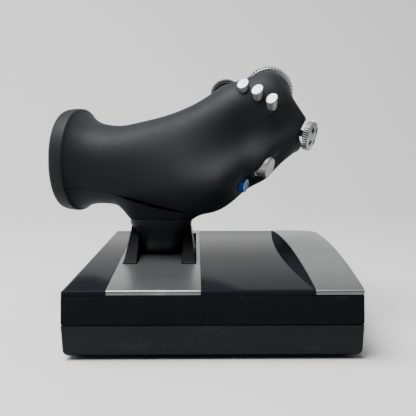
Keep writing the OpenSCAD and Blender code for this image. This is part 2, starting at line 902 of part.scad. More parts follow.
module grip_lower_shell() {
    color("#2e3033")
        resize([0, 0, 0])
            difference() {
                union() {
                    grip_band(false, 20, 0, grip_wall);
                    difference() {
                        funnel(36);
                        grip_solid(grip_wall / 2, 36);
                        grip_band(true, 26, -9, grip_wall + 0.3);
                    }
                    intersection() {
                        grip_solid(0.3, 36);
                        for (p = grip_screw_at)
                            translate([p[0], p[1], 50])
                                cylinder(r = 4.4, h = grip_split_z - 50, $fn = 24);
                    }
                }
                box([lever_x - 17.1, -3.1, 40], [lever_x + 17.1, 23.1, column_top]);
                for (s = [-1, 1])
                    box([lever_x + s * (fin_out - fin_t / 2) - fin_t / 2 - 0.1, -0.1, 40],
                        [lever_x + s * (fin_out - fin_t / 2) + fin_t / 2 + 0.1, 26, 56]);
                box([lever_x - 14, -5, 40], [lever_x + 14, 24.5, 56.05]);
                for (s = [-1, 1])
                    translate([lever_x + s * column_screw_dx, column_y, 60]) {
                        cylinder(r = 1.6, h = 20, $fn = 24);
                        translate([0, 0, 7.4])
                            cylinder(r = 3.2, h = 12, $fn = 24);
                    }
                translate([lever_x, column_y + 4, 50])
                    cylinder(r = 4, h = 20, $fn = 24);
                for (p = grip_screw_at)
                    translate([p[0], p[1], 40]) {
                        cylinder(r = 1.6, h = 60, $fn = 24);
                        cylinder(r = 3.1, h = p[2] + 6 - 40, $fn = 24);
                    }
                for (b = [BUTTONS[3], BUTTONS[4]])
                    at(b)
                        translate([0, 0, board_top(b) - 4])
                            cylinder(r = b[3] + 2.9, h = 30, $fn = 32);
                at(HAT) {
                    translate([0, 0, -26])
                        cylinder(r = 9.9, h = 40, $fn = 32);
                    translate([0, 0, -6.5])
                        cylinder(r = 16, h = 20, $fn = 40);
                }
            }
}

module grip_screws() {
    color("dimgray")
        for (p = grip_screw_at)
            screw_from_below([p[0], p[1], p[2] + 6], 1.4, grip_split_z + 8 - p[2] - 6, 2.8, 2);
}

module button(b, tint) {
    color(tint)
        at(b) {
            translate([0, 0, -b[4]])
                cylinder(r = b[3], h = b[4]);
            translate([0, 0, -b[4] - flange_h])
                cylinder(r = b[3] + 0.8, h = flange_h + e);
        }
}

module blue_button() {
    b = BUTTONS[4];
    color("#0a4fa0")
        at(b) {
            difference() {
                translate([0, 0, -b[4]])
                    cylinder(r = b[3], h = b[4]);
                for (i = [0:7])
                    rotate(i * 45)
                        translate([b[3] + 0.5, 0, -3.2])
                            cylinder(r = 1, h = 5, $fn = 16);
            }
            translate([0, 0, -b[4] - flange_h])
                cylinder(r = b[3] + 0.8, h = flange_h + e);
        }
}

module button_switches() {
    for (b = BUTTONS)
        at(b) {
            color("#202020")
                translate([-3, -3, board_top(b)])
                    cube([6, 6, switch_h]);
            color("silver")
                translate([0, 0, board_top(b) + switch_h - e])
                    cylinder(r = 1.7, h = plunger_h + e);
        }
}

module button_boards() {
    color("darkgreen")
        for (b = BUTTONS)
            at(b)
                translate([0, 0, board_top(b) - board_t])
                    cylinder(r = b[3] + 0.9, h = board_t);
}

// Knurled disc: two radii alternating around the rim
module knurled(r, n, h, depth) {
    linear_extrude(h)
        polygon([
            for (i = [0:n - 1], k = [0:3])
                let (radius = k < 2 ? r : r - depth, a = (i + k * 0.25) * 360 / n)
                [radius * cos(a), radius * sin(a)]
        ]);
}

module hat_cap() {
    color("silver")
        at(HAT) {
            translate([0, 0, -4.6])
                knurled(hat_r, 36, 3.6, 0.5);
            translate([0, 0, -1.05])
                cylinder(r1 = hat_r - 0.8, r2 = hat_r - 2.2, h = 1.05, $fn = 64);
            translate([0, 0, hat_pivot])
                cylinder(r = 2, h = -hat_pivot - 4.5);
            translate([0, 0, hat_pivot])
                sphere(r = 2.25);
            for (s = [-1, 1])
                translate([0, 0, hat_pivot])
                    rotate([s * 90, 0, 0])
                        cylinder(r = 0.6, h = 3.9, $fn = 24);
        }
}

module hat_gimbal_ring() {
    color("#3a3c40")
        at(HAT)
            translate([0, 0, hat_pivot]) {
                difference() {
                    translate([0, 0, -1.2])
                        cylinder(r = 4.1, h = 2.4);
                    translate([0, 0, -2])
                        cylinder(r = 2.35, h = 4);
                    rotate([90, 0, 0])
                        translate([0, 0, -6])
                            cylinder(r = 0.65, h = 12, $fn = 24);
                }
                for (s = [-1, 1])
                    rotate([0, s * 90, 0])
                        translate([0, 0, 3.6])
                            cylinder(r = 0.6, h = 1.9, $fn = 24);
            }
}

module hat_housing() {
    color("#202020")
        at(HAT)
            difference() {
                translate([0, 0, -21])
                    cylinder(r = 7, h = 10);
                translate([0, 0, -17.5])
                    cylinder(r = 4.7, h = 8);
                translate([0, 0, hat_pivot])
                    rotate([0, 90, 0])
                        translate([0, 0, -5.8])
                            cylinder(r = 0.65, h = 11.6, $fn = 24);
            }
}

module dial_wheel() {
    color("silver")
        at(DIAL)
            difference() {
                union() {
                    translate([0, 0, -dial_h])
                        knurled(dial_r, 60, dial_h - 0.8, 0.5);
                    translate([0, 0, -0.85])
                        cylinder(r1 = dial_r - 0.8, r2 = dial_r - 1.8, h = 0.85, $fn = 64);
                    translate([0, 0, -13])
                        cylinder(r = 1.5, h = 12);
                }
                difference() {
                    translate([0, 0, -dial_h - 1])
                        cylinder(r = 7, h = dial_h - 0.8);
                    translate([0, 0, -dial_h - 2])
                        cylinder(r = 1.5, h = dial_h + 1);
                }
            }
}

module dial_encoder() {
    color("seagreen")
        at(DIAL)
            difference() {
                union() {
                    translate([-6, -6, -15])
                        cube([12, 12, 15 - dial_h - 2.5]);
                    translate([0, 0, -8])
                        cylinder(r = 3.5, h = 5);
                }
                translate([0, 0, -14])
                    cylinder(r = 1.55, h = 14);
            }
}

module dial_nut() {
    color("silver")
        at(DIAL)
            translate([0, 0, -dial_h - 0.5])
                difference() {
                    cylinder(r = 5.4, h = 1.5, $fn = 6);
                    translate([0, 0, -1])
                        cylinder(r = 3.5, h = 4);
                }
}

base_upper_shell();
base_lower_shell();
lever_strip();
side_strip();
rubber_feet();
case_screws();
base_weight();
weight_screws();
main_board();
board_chips();
board_screws();
link_socket();
guide_rod(-1);  // guide_rod_left
guide_rod(1);  // guide_rod_right
rod_clamp(clamp_y[0]);  // rod_clamp_front
rod_clamp(clamp_y[1]);  // rod_clamp_rear
clamp_screws();
stop_pads();
sensor_bracket();
bracket_screws();
lever_sensor();
sensor_nut();
sensor_pinion();
lever_carriage();
guide_bushes();
friction_pads();
friction_springs();
friction_plugs();
lever_rack();
rack_screws();
lever_column();
carriage_screws();
column_screws();
grip_top_shell();
grip_lower_shell();
grip_screws();
button(BUTTONS[0], "silver");  // small_button_left
button(BUTTONS[1], "silver");  // small_button_middle
button(BUTTONS[2], "silver");  // small_button_right
button(BUTTONS[3], "silver");  // silver_button
blue_button();
button(BUTTONS[5], "silver");  // index_button
button_switches();
button_boards();
hat_cap();
hat_gimbal_ring();
hat_housing();
dial_wheel();
dial_encoder();
dial_nut();
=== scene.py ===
"""Flight throttle unit: looks of its casing, lever, grip and controls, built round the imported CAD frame."""

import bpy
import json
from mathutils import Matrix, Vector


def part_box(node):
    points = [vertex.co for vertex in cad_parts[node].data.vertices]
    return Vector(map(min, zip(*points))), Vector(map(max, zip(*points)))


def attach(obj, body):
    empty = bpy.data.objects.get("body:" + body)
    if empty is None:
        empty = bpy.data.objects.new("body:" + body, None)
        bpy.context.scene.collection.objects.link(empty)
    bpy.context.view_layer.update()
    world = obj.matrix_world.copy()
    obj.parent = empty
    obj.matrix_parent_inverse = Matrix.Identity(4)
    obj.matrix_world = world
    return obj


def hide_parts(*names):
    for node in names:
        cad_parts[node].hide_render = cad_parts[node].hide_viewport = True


bl_info = {
    "name": "Flight Throttle Unit",
    "version": (1, 0, 0),
    "blender": (4, 5, 0),
    "location": "View3D > Sidebar > Throttle",
    "description": "Builds the casing, lever, grip, controls and finishes of a sliding flight throttle",
    "category": "Object",
}

import json
import math

import bmesh
import bpy
from bpy.props import FloatProperty, FloatVectorProperty, IntProperty, PointerProperty
from mathutils import Matrix, Vector

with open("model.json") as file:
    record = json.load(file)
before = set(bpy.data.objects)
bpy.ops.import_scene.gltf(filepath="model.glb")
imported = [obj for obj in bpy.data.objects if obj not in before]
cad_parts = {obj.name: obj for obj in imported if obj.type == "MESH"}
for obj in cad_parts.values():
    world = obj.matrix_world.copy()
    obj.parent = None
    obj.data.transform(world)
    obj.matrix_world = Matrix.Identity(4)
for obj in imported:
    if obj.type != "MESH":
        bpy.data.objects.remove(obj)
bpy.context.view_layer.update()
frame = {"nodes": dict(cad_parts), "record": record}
MM = 0.001


# ---------------------------------------------------------------- sizes, partly read from the frame

def low(node):
    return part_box(node)[0] / MM


def high(node):
    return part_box(node)[1] / MM


def middle(node):
    return (low(node) + high(node)) / 2


HALF_W = high("base_lower_shell").x
HALF_D = high("base_lower_shell").y
SEAM_Z = high("base_lower_shell").z
FLOOR_Z = low("base_lower_shell").z
DECK_Z = high("lever_strip").z - 0.1
ARCH_RISE = high("side_strip").z - DECK_Z
STRIP_X = (low("lever_strip").x, high("lever_strip").x)
LEVER_X = middle("lever_column").x
FIN_OUT = high("lever_column").x - LEVER_X
FIN_T = 7.4
SLOT_Y = (-29.0, 86.3)
CORNER_R = 22.0
REAR_LEFT_X = -HALF_W + 9.5
SIDE_EDGE = (51.0, 46.6)
PORT_X, PORT_Z, PORT_R = 40, 18, 7.2
LIP_DROP = 2.7
# Recesses in the underside: radius, depth
FOOT_RECESS = (6.3, 0.9)
SCREW_RECESS = (3.3, 6.4)


# ---------------------------------------------------------------- properties

class ThrottleBaseSizes(bpy.types.PropertyGroup):
    """Edges and grooves of the base"""

    edge_round: FloatProperty(
        name="Deck edge round",
        description="Radius along the deck's outer edge, in millimetres",
        default=1.5)
    foot_round: FloatProperty(
        name="Foot edge round",
        description="Radius along the underside's outer edge, in millimetres",
        default=4.0)
    groove: FloatProperty(
        name="Groove",
        description="Width of the groove under the deck's edge, in millimetres",
        default=0.35)
    strip_round: FloatProperty(
        name="Strip edge round",
        description="Radius along the silver strips' edges, in millimetres",
        default=0.35)
    fillet: FloatProperty(
        name="Fillet",
        description="Width of the sweep beside the right strip, per unit of its height",
        default=1.2)


class ThrottleGripSizes(bpy.types.PropertyGroup):
    """Mesh spacing and walls of the grip"""

    wall: FloatProperty(
        name="Wall",
        description="Thickness of the grip shells, in millimetres",
        default=2.2)
    spacing: FloatProperty(
        name="Section spacing",
        description="Distance between sections of the cage, in millimetres",
        default=4.5)
    levels: IntProperty(
        name="Subdivision",
        description="Subdivision levels of the grip shells",
        default=2)
    seam: FloatProperty(
        name="Seam",
        description="Half the seam's width, in degrees around the section",
        default=0.10)


class ThrottleControlSizes(bpy.types.PropertyGroup):
    """Ribs, lobes and gaps of the controls"""

    well_gap: FloatProperty(
        name="Well gap",
        description="Gap between a button and its well, in millimetres",
        default=0.75)
    hat_ribs: IntProperty(
        name="Hat ribs",
        description="Ribs in one row round the hat cap",
        default=40)
    dial_ribs: IntProperty(
        name="Dial ribs",
        description="Ribs round the thumb dial",
        default=46)
    lobes: IntProperty(
        name="Lobes",
        description="Lobes round the blue button",
        default=8)


class ThrottleFinishes(bpy.types.PropertyGroup):
    """Colours of the main finishes"""

    grip: FloatVectorProperty(
        name="Grip",
        description="Soft-touch coat of the grip",
        subtype="COLOR", default=(0.0070, 0.0086, 0.0100))
    case: FloatVectorProperty(
        name="Case",
        description="Moulded black of the base",
        subtype="COLOR", default=(0.0065, 0.0075, 0.0095))
    strip: FloatVectorProperty(
        name="Strip",
        description="Silver paint of the strips",
        subtype="COLOR", default=(0.15, 0.161, 0.160))
    bright: FloatVectorProperty(
        name="Bright silver",
        description="Plating of the buttons",
        subtype="COLOR", default=(0.38, 0.38, 0.385))
    blue: FloatVectorProperty(
        name="Blue",
        description="Clear blue of the lobed button",
        subtype="COLOR", default=(0.002, 0.045, 0.22))


def sizes():
    """The property groups, by short name."""
    scene = bpy.context.scene
    return scene.throttle_base, scene.throttle_grip, scene.throttle_controls, scene.throttle_finishes


# ---------------------------------------------------------------- mesh helpers (millimetres in, metres out)

def new_piece(name, bm):
    """Object made of a bmesh drawn in millimetres."""
    bmesh.ops.scale(bm, vec=(MM, MM, MM), verts=bm.verts)
    mesh = bpy.data.meshes.new(name)
    bm.to_mesh(mesh)
    bm.free()
    obj = bpy.data.objects.new(name, mesh)
    bpy.context.scene.collection.objects.link(obj)
    mesh.shade_smooth()
    return obj


def loft(name, rings, closed=True, capped=True):
    """Skin over rings of equally many points; caps are single faces."""
    bm = bmesh.new()
    rows = [[bm.verts.new(p) for p in ring] for ring in rings]
    count = len(rows[0])
    for row, following in zip(rows, rows[1:]):
        for j in range(count if closed else count - 1):
            k = (j + 1) % count
            bm.faces.new((row[j], row[k], following[k], following[j]))
    if capped:
        bm.faces.new(tuple(reversed(rows[0])))
        bm.faces.new(tuple(rows[-1]))
    return new_piece(name, bm)


def block(name, a, b):
    """Plain cage of a box between two corners."""
    corners = [(a[0], a[1]), (b[0], a[1]), (b[0], b[1]), (a[0], b[1])]
    return loft(name, [[Vector((x, y, z)) for x, y in corners] for z in (a[2], b[2])])


def turned(name, profile, steps=48):
    """Turned piece on the Z axis from (radius, height) points that run from the top down."""
    bm = bmesh.new()
    verts = [bm.verts.new((r, 0, z)) for r, z in profile]
    for a, b in zip(verts, verts[1:]):
        bm.edges.new((a, b))
    obj = new_piece(name, bm)
    screw = obj.modifiers.new("Turn", "SCREW")
    screw.axis = "Z"
    screw.steps = screw.render_steps = steps
    screw.use_merge_vertices = True
    screw.merge_threshold = 0.00001
    screw.use_normal_calculate = True
    bake(obj)
    face_outward(obj)
    return obj


def face_outward(obj):
    """Merges doubles and turns every face outward."""
    bm = bmesh.new()
    bm.from_mesh(obj.data)
    bmesh.ops.remove_doubles(bm, verts=bm.verts, dist=0.000005)
    bmesh.ops.recalc_face_normals(bm, faces=bm.faces)
    bm.to_mesh(obj.data)
    bm.free()


def bake(obj):
    """Applies an object's modifier stack."""
    graph = bpy.context.evaluated_depsgraph_get()
    old = obj.data
    mesh = bpy.data.meshes.new_from_object(obj.evaluated_get(graph))
    obj.modifiers.clear()
    obj.data = mesh
    bpy.data.meshes.remove(old)


def place(obj, matrix):
    """Puts a piece made at its own origin where it belongs, in its mesh."""
    obj.data.transform(matrix)
    obj.data.update()
    return obj


def join(name, pieces):
    """One object from several."""
    bm = bmesh.new()
    for piece in pieces:
        bm.from_mesh(piece.data)
        bpy.data.objects.remove(piece)
    mesh = bpy.data.meshes.new(name)
    bm.to_mesh(mesh)
    bm.free()
    obj = bpy.data.objects.new(name, mesh)
    bpy.context.scene.collection.objects.link(obj)
    return obj


def cut(obj, cutters):
    """Takes the cutters out of an object and removes them."""
    for cutter in cutters:
        step = obj.modifiers.new("Cut", "BOOLEAN")
        step.operation = "DIFFERENCE"
        step.solver = "EXACT"
        step.object = cutter
    bake(obj)
    for cutter in cutters:
        bpy.data.objects.remove(cutter)
    return obj


def soften(obj, width, segments=3, angle=35):
    """Live bevel and weighted normals for a hard-edged piece."""
    step = obj.modifiers.new("Edge round", "BEVEL")
    step.width = width * MM
    step.segments = segments
    step.limit_method = "ANGLE"
    step.angle_limit = math.radians(angle)
    step.harden_normals = True
    step.miter_outer = "MITER_ARC"
    weigh = obj.modifiers.new("Face weighting", "WEIGHTED_NORMAL")
    weigh.keep_sharp = True
    obj.data.shade_smooth()
    return obj


def round_off(obj, levels):
    """Live subdivision surface."""
    step = obj.modifiers.new("Round off", "SUBSURF")
    step.levels = step.render_levels = levels
    return obj


def crease_by_angle(obj, angle=35):
    """Smooth shading with sharp edges where faces meet at more than an angle."""
    obj.data.shade_smooth()
    obj.data.set_sharp_from_angle(angle=math.radians(angle))
    return obj


def finish_piece(obj, body, slot, finish, *nodes):
    """Material, body and CAD nodes of a finished piece."""
    obj.data.materials.clear()
    obj.data.materials.append(finish)
    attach(obj, body)
    if nodes:
        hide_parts(*nodes)
    return obj


# ---------------------------------------------------------------- base outline

def outline(inset, z):
    """Rounded outline of the base at one height, drawn in from its widest line."""
    corners = [(-HALF_W, -HALF_D), (HALF_W, -HALF_D), (HALF_W, HALF_D), (REAR_LEFT_X, HALF_D)]
    radii = [1.6, 1.6, CORNER_R, 3.0]
    spans = [5, 5, 14, 6]
    points = []
    for i, corner in enumerate(corners):
        here = Vector(corner)
        before = (Vector(corners[i - 1]) - here).normalized()
        after = (Vector(corners[(i + 1) % 4]) - here).normalized()
        half = before.angle(after) / 2
        inward = (before + after).normalized()
        radius = max(radii[i] - inset, 0.5)
        centre = here + inward * ((inset + radius) / math.sin(half))
        sweep = math.pi - 2 * half
        first = math.atan2(-before.x, before.y) + math.pi
        for k in range(spans[i] + 1):
            a = first + sweep * k / spans[i]
            points.append(Vector((centre.x + radius * math.cos(a), centre.y + radius * math.sin(a), z)))
    return points


def arch(y):
    """Height of the right strip above the deck."""
    return ARCH_RISE * (1 - (y / HALF_D) ** 2)


def strip_left(y):
    """Left edge of the right strip."""
    return SIDE_EDGE[0] + (SIDE_EDGE[1] - SIDE_EDGE[0]) * (y + HALF_D) / (2 * HALF_D)


def strip_right(y, inset):
    """Right edge of the base's outline, drawn in by inset."""
    centre = HALF_D - CORNER_R
    if y <= centre:
        return HALF_W - inset
    reach = CORNER_R - inset
    return HALF_W - CORNER_R + math.sqrt(max(reach ** 2 - (y - centre) ** 2, 0.04))


def steps_between(a, b, count):
    """Even steps from a to b, both included."""
    return [a + (b - a) * i / count for i in range(count + 1)]


# ---------------------------------------------------------------- grip form

# Key sections: x, y, z of the middle, turn, reach to the top, bottom, near and far side, belly, seam angle
KEYS = [
    (-86.9, 18.7, 92.5, 17, 0.4, 0.4, 0.4, 0.4, 0, 120),
    (-86.8, 18.7, 92.5, 17, 26, 26, 26, 26, 0, 120),
    (-86.4, 18.6, 92.5, 17, 29.4, 29.4, 29.4, 29.4, 0, 120),
    (-85.6, 18.3, 92.5, 17, 30.5, 30.5, 30.5, 30.5, 0, 120),
    (-82.5, 17.4, 92.5, 17, 31.1, 31.1, 31.1, 31.1, 0, 120),
    (-78.2, 16.1, 92.4, 17, 31.2, 31.2, 31.2, 31.2, 0, 120),
    (-77.7, 15.9, 92.4, 17, 30.9, 31.0, 31.0, 31.0, 0, 120),
    (-77.2, 15.8, 92.4, 17, 30.1, 30.3, 30.3, 30.3, 0, 120),
    (-76.0, 15.4, 92.3, 16.8, 28.6, 29.2, 29.0, 29.0, 0, 120),
    (-73, 14.5, 92, 16, 26.4, 27.6, 27, 27, 0, 121),
    (-66, 12.5, 91, 14, 23.6, 25, 24.5, 24.5, 0, 123),
    (-55, 9.5, 90, 12, 23.3, 24.2, 23.5, 23.5, 0, 130),
    (-40, 6, 90.5, 10, 25.6, 25.5, 24, 24, 1, 142),
    (-25, 3.5, 92, 7, 28, 29, 25, 25, 4, 154),
    (-10, 1.5, 95, 4, 31, 34.5, 25, 25, 8, 158),
    (3, 0, 98, 0, 35.5, 36, 24, 24, 9, 157),
    (12, -1, 102, 0, 36.5, 35, 22, 22, 7, 158),
    (22, -2, 107, 0, 34.5, 31, 19, 19, 3, 160),
    (32, -3, 111, -5, 33.5, 30, 17, 17, 0, 160),
    (41, -4, 113, -8, 28, 22, 15, 15, 0, 150),
    (47.5, -5, 112, -15, 18.5, 15.5, 12.5, 12.5, 0, 138),
    (52.2, -6.8, 109.7, -22, 12.2, 11.4, 11.2, 11.2, 0, 126),
    (55.6, -8.2, 109.2, -24, 9.8, 9.6, 9.8, 9.8, 0, 126),
    (56.4, -8.4, 109.0, -24, 7.6, 7.6, 7.6, 7.6, 0, 126),
]
FAR_SEAM = -84.0
NECK_ROW = 9


def key_slope(k):
    """Slope of every value at a key section, flat where a value turns back."""
    if k in (0, len(KEYS) - 1):
        other = 1 if k == 0 else k - 1
        run = KEYS[other][0] - KEYS[k][0]
        return [(b - a) / run for a, b in zip(KEYS[k], KEYS[other])]
    slopes = []
    for before, here, after in zip(KEYS[k - 1], KEYS[k], KEYS[k + 1]):
        a = (here - before) / (KEYS[k][0] - KEYS[k - 1][0])
        b = (after - here) / (KEYS[k + 1][0] - KEYS[k][0])
        slopes.append(0.0 if a * b <= 0 else 2 * a * b / (a + b))
    return slopes


def section(x):
    """Values of the grip's section at x, on a smooth curve through the key sections."""
    k = 0
    while k < len(KEYS) - 2 and x > KEYS[k + 1][0]:
        k += 1
    run = KEYS[k + 1][0] - KEYS[k][0]
    t = min(max((x - KEYS[k][0]) / run, 0), 1)
    rows = zip(KEYS[k], KEYS[k + 1], key_slope(k), key_slope(k + 1))
    return [
        a * (2 * t ** 3 - 3 * t * t + 1) + m * run * (t ** 3 - 2 * t * t + t)
        + b * (3 * t * t - 2 * t ** 3) + n * run * (t ** 3 - t * t)
        for a, b, m, n in rows
    ]


def bump(angle, centre, width):
    """Soft swelling of height 1 round an angle."""
    away = (angle - centre + 180) % 360 - 180
    return math.exp(-(away / width) ** 2)


def rounded(value):
    """Sine or cosine drawn slightly toward a squarer section."""
    return math.copysign(abs(value) ** 0.91, value)


def grip_point(x, angle):
    """Point of the grip's skin at an angle measured from the top toward the near side."""
    s = section(x)
    turn = math.radians(s[3])
    c, d = math.cos(math.radians(angle)), math.sin(math.radians(angle))
    tall = s[4] if c >= 0 else s[5]
    wide = s[6] if d >= 0 else s[7]
    out = rounded(d) * wide + s[8] * (bump(angle, 118, 38) - 0.35 * bump(angle, 72, 24))
    hollow = 6.4 * math.exp(-((x - 22) / 31) ** 2) * min(max((58 - x) / 14, 0), 1)
    out -= hollow * bump(angle, 88 - 0.22 * (x - 10), 17)
    out += 2.4 * math.exp(-((x - 6) / 20) ** 2) * bump(angle, 124, 22)
    return Vector((s[0] - math.sin(turn) * out, s[1] - math.cos(turn) * out, s[2] + rounded(c) * tall))


def grip_normal(x, angle):
    """Outward direction of the grip's skin."""
    along = grip_point(x + 0.4, angle) - grip_point(x - 0.4, angle)
    around = grip_point(x, angle + 1) - grip_point(x, angle - 1)
    return around.cross(along).normalized()


def smooth_min(a, b, reach):
    """Smaller of two distances, blended where they differ by less than reach."""
    h = max(reach - abs(a - b), 0) / reach
    return min(a, b) - h * h * reach / 4


def round_box(p, centre, half, radius):
    """Distance to a box with rounded edges."""
    q = Vector([abs(p[i] - centre[i]) - half[i] + radius for i in range(3)])
    outside = Vector([max(v, 0) for v in q]).length
    return outside + min(max(q), 0) - radius


def capsule_disc(p, centre, axis, radius, half, edge):
    """Distance to a short round drum with rounded rims."""
    d = p - centre
    h = d.dot(axis)
    r = (d - axis * h).length
    q = (abs(h) - half + edge, r - radius + edge)
    return math.hypot(max(q[0], 0), max(q[1], 0)) + min(max(q), 0) - edge


def grown(x, angle, shape, reach):
    """Skin point pushed out along its normal onto a smooth union with another shape."""
    start = grip_point(x, angle)
    if shape(start) > reach + 14:
        return start
    normal = grip_normal(x, angle)
    inner, outer = 0.0, 26.0
    for _ in range(22):
        t = (inner + outer) / 2
        if smooth_min(t, shape(start + normal * t), reach) < 0:
            inner = t
        else:
            outer = t
    return start + normal * (inner if inner > 0.002 else 0)


def axis_of(azimuth, elevation):
    """Unit vector from two angles in degrees."""
    a, e = math.radians(azimuth), math.radians(elevation)
    return Vector((math.cos(e) * math.cos(a), math.cos(e) * math.sin(a), math.sin(e)))


def seat(centre, azimuth, elevation):
    """Matrix that puts a piece made on the Z axis at a control's face, in metres."""
    turn = Matrix.Rotation(math.radians(azimuth), 4, "Z")
    tip = Matrix.Rotation(math.radians(90 - elevation), 4, "Y")
    return Matrix.Translation(Vector(centre) * MM) @ turn @ tip


# Controls: face centre, azimuth, elevation, radius
CONTROLS = {
    "small_button_left": ((18.6, -15.5, 138.2), -98, 43, 3.35),
    "small_button_middle": ((26.7, -19.0, 134.8), -98, 43, 3.35),
    "small_button_right": ((34.8, -21.0, 129.7), -98, 43, 3.35),
    "silver_button": ((34.8, -17.6, 89.7), -26, -16, 6.5),
    "blue_button": ((21.1, -15.6, 79.3), -26, -12, 4.8),
    "index_button": ((9.8, 19.0, 133.0), 95, 15, 7.4),
}
HAT = ((60.7, -10.6, 107.4), -26, -14)
DIAL = ((35.8, 15.6, 134.6), 90, 8)
HAT_R = 8.9
DIAL_R = 15.2
HAT_WELL_R = 7.4
DIAL_WELL_R = 5.2
SCREW_WELL_R = 3.1
SMALL_SLANT = (-122, 33)


def pad(p):
    """Low pads that bring the grip's skin up behind the silver button and the right small button."""
    nearest = 1000.0
    for name, depth, radius in (("silver_button", 6.8, 9.6), ("small_button_right", 10.6, 5.6)):
        centre, azimuth, elevation, _ = CONTROLS[name]
        axis = axis_of(azimuth, elevation)
        nearest = min(nearest, capsule_disc(p, Vector(centre) - axis * depth, axis, radius, 6.0, 2.5))
    return nearest


def boss(p):
    """The domed boss under the thumb dial and the low swelling under the index button."""
    axis = axis_of(DIAL[1], DIAL[2])
    drum = capsule_disc(p, Vector(DIAL[0]) - axis * 14.1, axis, 13.3, 9.0, 7.0)
    centre, azimuth, elevation, _ = CONTROLS["index_button"]
    lean = axis_of(azimuth, elevation)
    swelling = capsule_disc(p, Vector(centre) - lean * 13.6, lean, 8.3, 7.0, 1.2)
    return min(drum, swelling, pad(p))


# Flats that the controls sit on: control, depth of the flat below its face, full radius, fading width
SEATS = (
    (CONTROLS["silver_button"], 1.5, 8.0, 4.0),
    (CONTROLS["blue_button"], 3.2, 6.0, 5.0),
    (HAT, 6.6, 12.0, 3.0),
    (DIAL, 5.1, 16.4, 3.5), (CONTROLS["index_button"], 5.5, 9.6, 2.5),
)


def seated(p):
    """Skin point pushed down onto the flats round the larger buttons, the hat and the dial."""
    for control, depth, radius, fade in SEATS:
        axis = axis_of(control[1], control[2])
        offset = p - Vector(control[0])
        height = offset.dot(axis) + depth
        away = (offset - axis * offset.dot(axis)).length
        if height > -1.5 and away < radius + fade:
            excess = height if height > 1.5 else (height + 1.5) ** 2 / 6
            t = min(max((radius + fade - away) / fade, 0), 1)
            p = p - axis * excess * t * t * (3 - 2 * t)
    return p


def funnel(p):
    """The funnel round the column's head."""
    core = round_box(p, Vector((LEVER_X + 0.4, 9.0, 66)), (18.4, 16.6, 11.6), 3.0)
    flare = round_box(p, Vector((LEVER_X + 0.4, 8.6, 71)), (26, 17.5, 8), 7.0)
    return min(smooth_min(core, flare, 9), pad(p))


def cage_sections(spacing):
    """Places along X of the cage's sections: the flange's and neck's own, then an even spread."""
    first = [row[0] for row in KEYS[:NECK_ROW + 1]]
    last = [row[0] for row in KEYS[-3:]]
    count = max(int((last[0] - first[-1]) / spacing), 8)
    return first[:-1] + steps_between(first[-1], last[0], count) + last[1:]


def grip_shell(name, top):
    """Half of the grip: a cage between its two seams, walled and smoothed."""
    grip = sizes()[1]
    spans = 22 if top else 20
    shape = boss if top else funnel
    rings = []
    for x in cage_sections(grip.spacing):
        seam = section(x)[9]
        if top:
            start, end = FAR_SEAM + grip.seam, seam - grip.seam
        else:
            start, end = seam + grip.seam, 360 + FAR_SEAM - grip.seam
        ring = []
        for angle in steps_between(start, end, spans):
            on_flange = x < KEYS[NECK_ROW][0]
            point = grip_point(x, angle) if on_flange else grown(x, angle, shape, 4.0)
            ring.append(seated(point))
        rings.append(ring)
    obj = loft(name, rings, closed=False, capped=False)
    wall = obj.modifiers.new("Wall", "SOLIDIFY")
    wall.thickness = grip.wall * MM
    wall.offset = -1
    wall.use_even_offset = False
    wall.edge_crease_outer = 0.92
    wall.edge_crease_inner = 0.5
    round_off(obj, grip.levels)
    bake(obj)
    return obj


# ---------------------------------------------------------------- shader helpers

class Nodes:
    """Short names for building a node tree."""

    def __init__(self, tree):
        self.tree = tree

    def add(self, kind, **settings):
        node = self.tree.nodes.new(kind)
        for key, value in settings.items():
            setattr(node, key, value)
        return node

    def link(self, a, b):
        self.tree.links.new(a, b)

    def noise(self, vector, scale, detail=4.0, roughness=0.5):
        node = self.add("ShaderNodeTexNoise")
        node.inputs["Scale"].default_value = scale
        node.inputs["Detail"].default_value = detail
        node.inputs["Roughness"].default_value = roughness
        self.link(vector, node.inputs["Vector"])
        return node.outputs["Fac"]

    def spread(self, value, a, b, c, d):
        """Maps a..b onto c..d and clamps."""
        node = self.add("ShaderNodeMapRange")
        self.link(value, node.inputs["Value"])
        for key, number in zip(("From Min", "From Max", "To Min", "To Max"), (a, b, c, d)):
            if hasattr(number, "is_output"):
                self.link(number, node.inputs[key])
            else:
                node.inputs[key].default_value = number
        return node.outputs["Result"]

    def maths(self, operation, a, b):
        node = self.add("ShaderNodeMath", operation=operation)
        for socket, value in zip(node.inputs, (a, b)):
            if hasattr(value, "is_output"):
                self.link(value, socket)
            else:
                socket.default_value = value
        return node.outputs[0]

    def mix(self, factor, a, b):
        node = self.add("ShaderNodeMix", data_type="RGBA")
        for socket, value in ((node.inputs[0], factor), (node.inputs[6], a), (node.inputs[7], b)):
            if hasattr(value, "is_output"):
                self.link(value, socket)
            elif socket.type == "RGBA":
                socket.default_value = (*value[:3], 1)
            else:
                socket.default_value = value
        return node.outputs[2]

    def squashed(self, vector, scale):
        node = self.add("ShaderNodeMapping")
        node.inputs["Scale"].default_value = scale
        self.link(vector, node.inputs["Vector"])
        return node.outputs["Vector"]


def new_group(name, inputs, outputs):
    """Empty shader node group with named sockets: (name, kind, default) in, (name, kind) out."""
    group = bpy.data.node_groups.new(name, "ShaderNodeTree")
    for label, kind, default in inputs:
        socket = group.interface.new_socket(label, in_out="INPUT", socket_type=kind)
        if default is not None:
            socket.default_value = default
    for label, kind in outputs:
        group.interface.new_socket(label, in_out="OUTPUT", socket_type=kind)
    n = Nodes(group)
    return group, n, n.add("NodeGroupInput").outputs, n.add("NodeGroupOutput").inputs


FLOAT, VECTOR, COLOUR = "NodeSocketFloat", "NodeSocketVector", "NodeSocketColor"


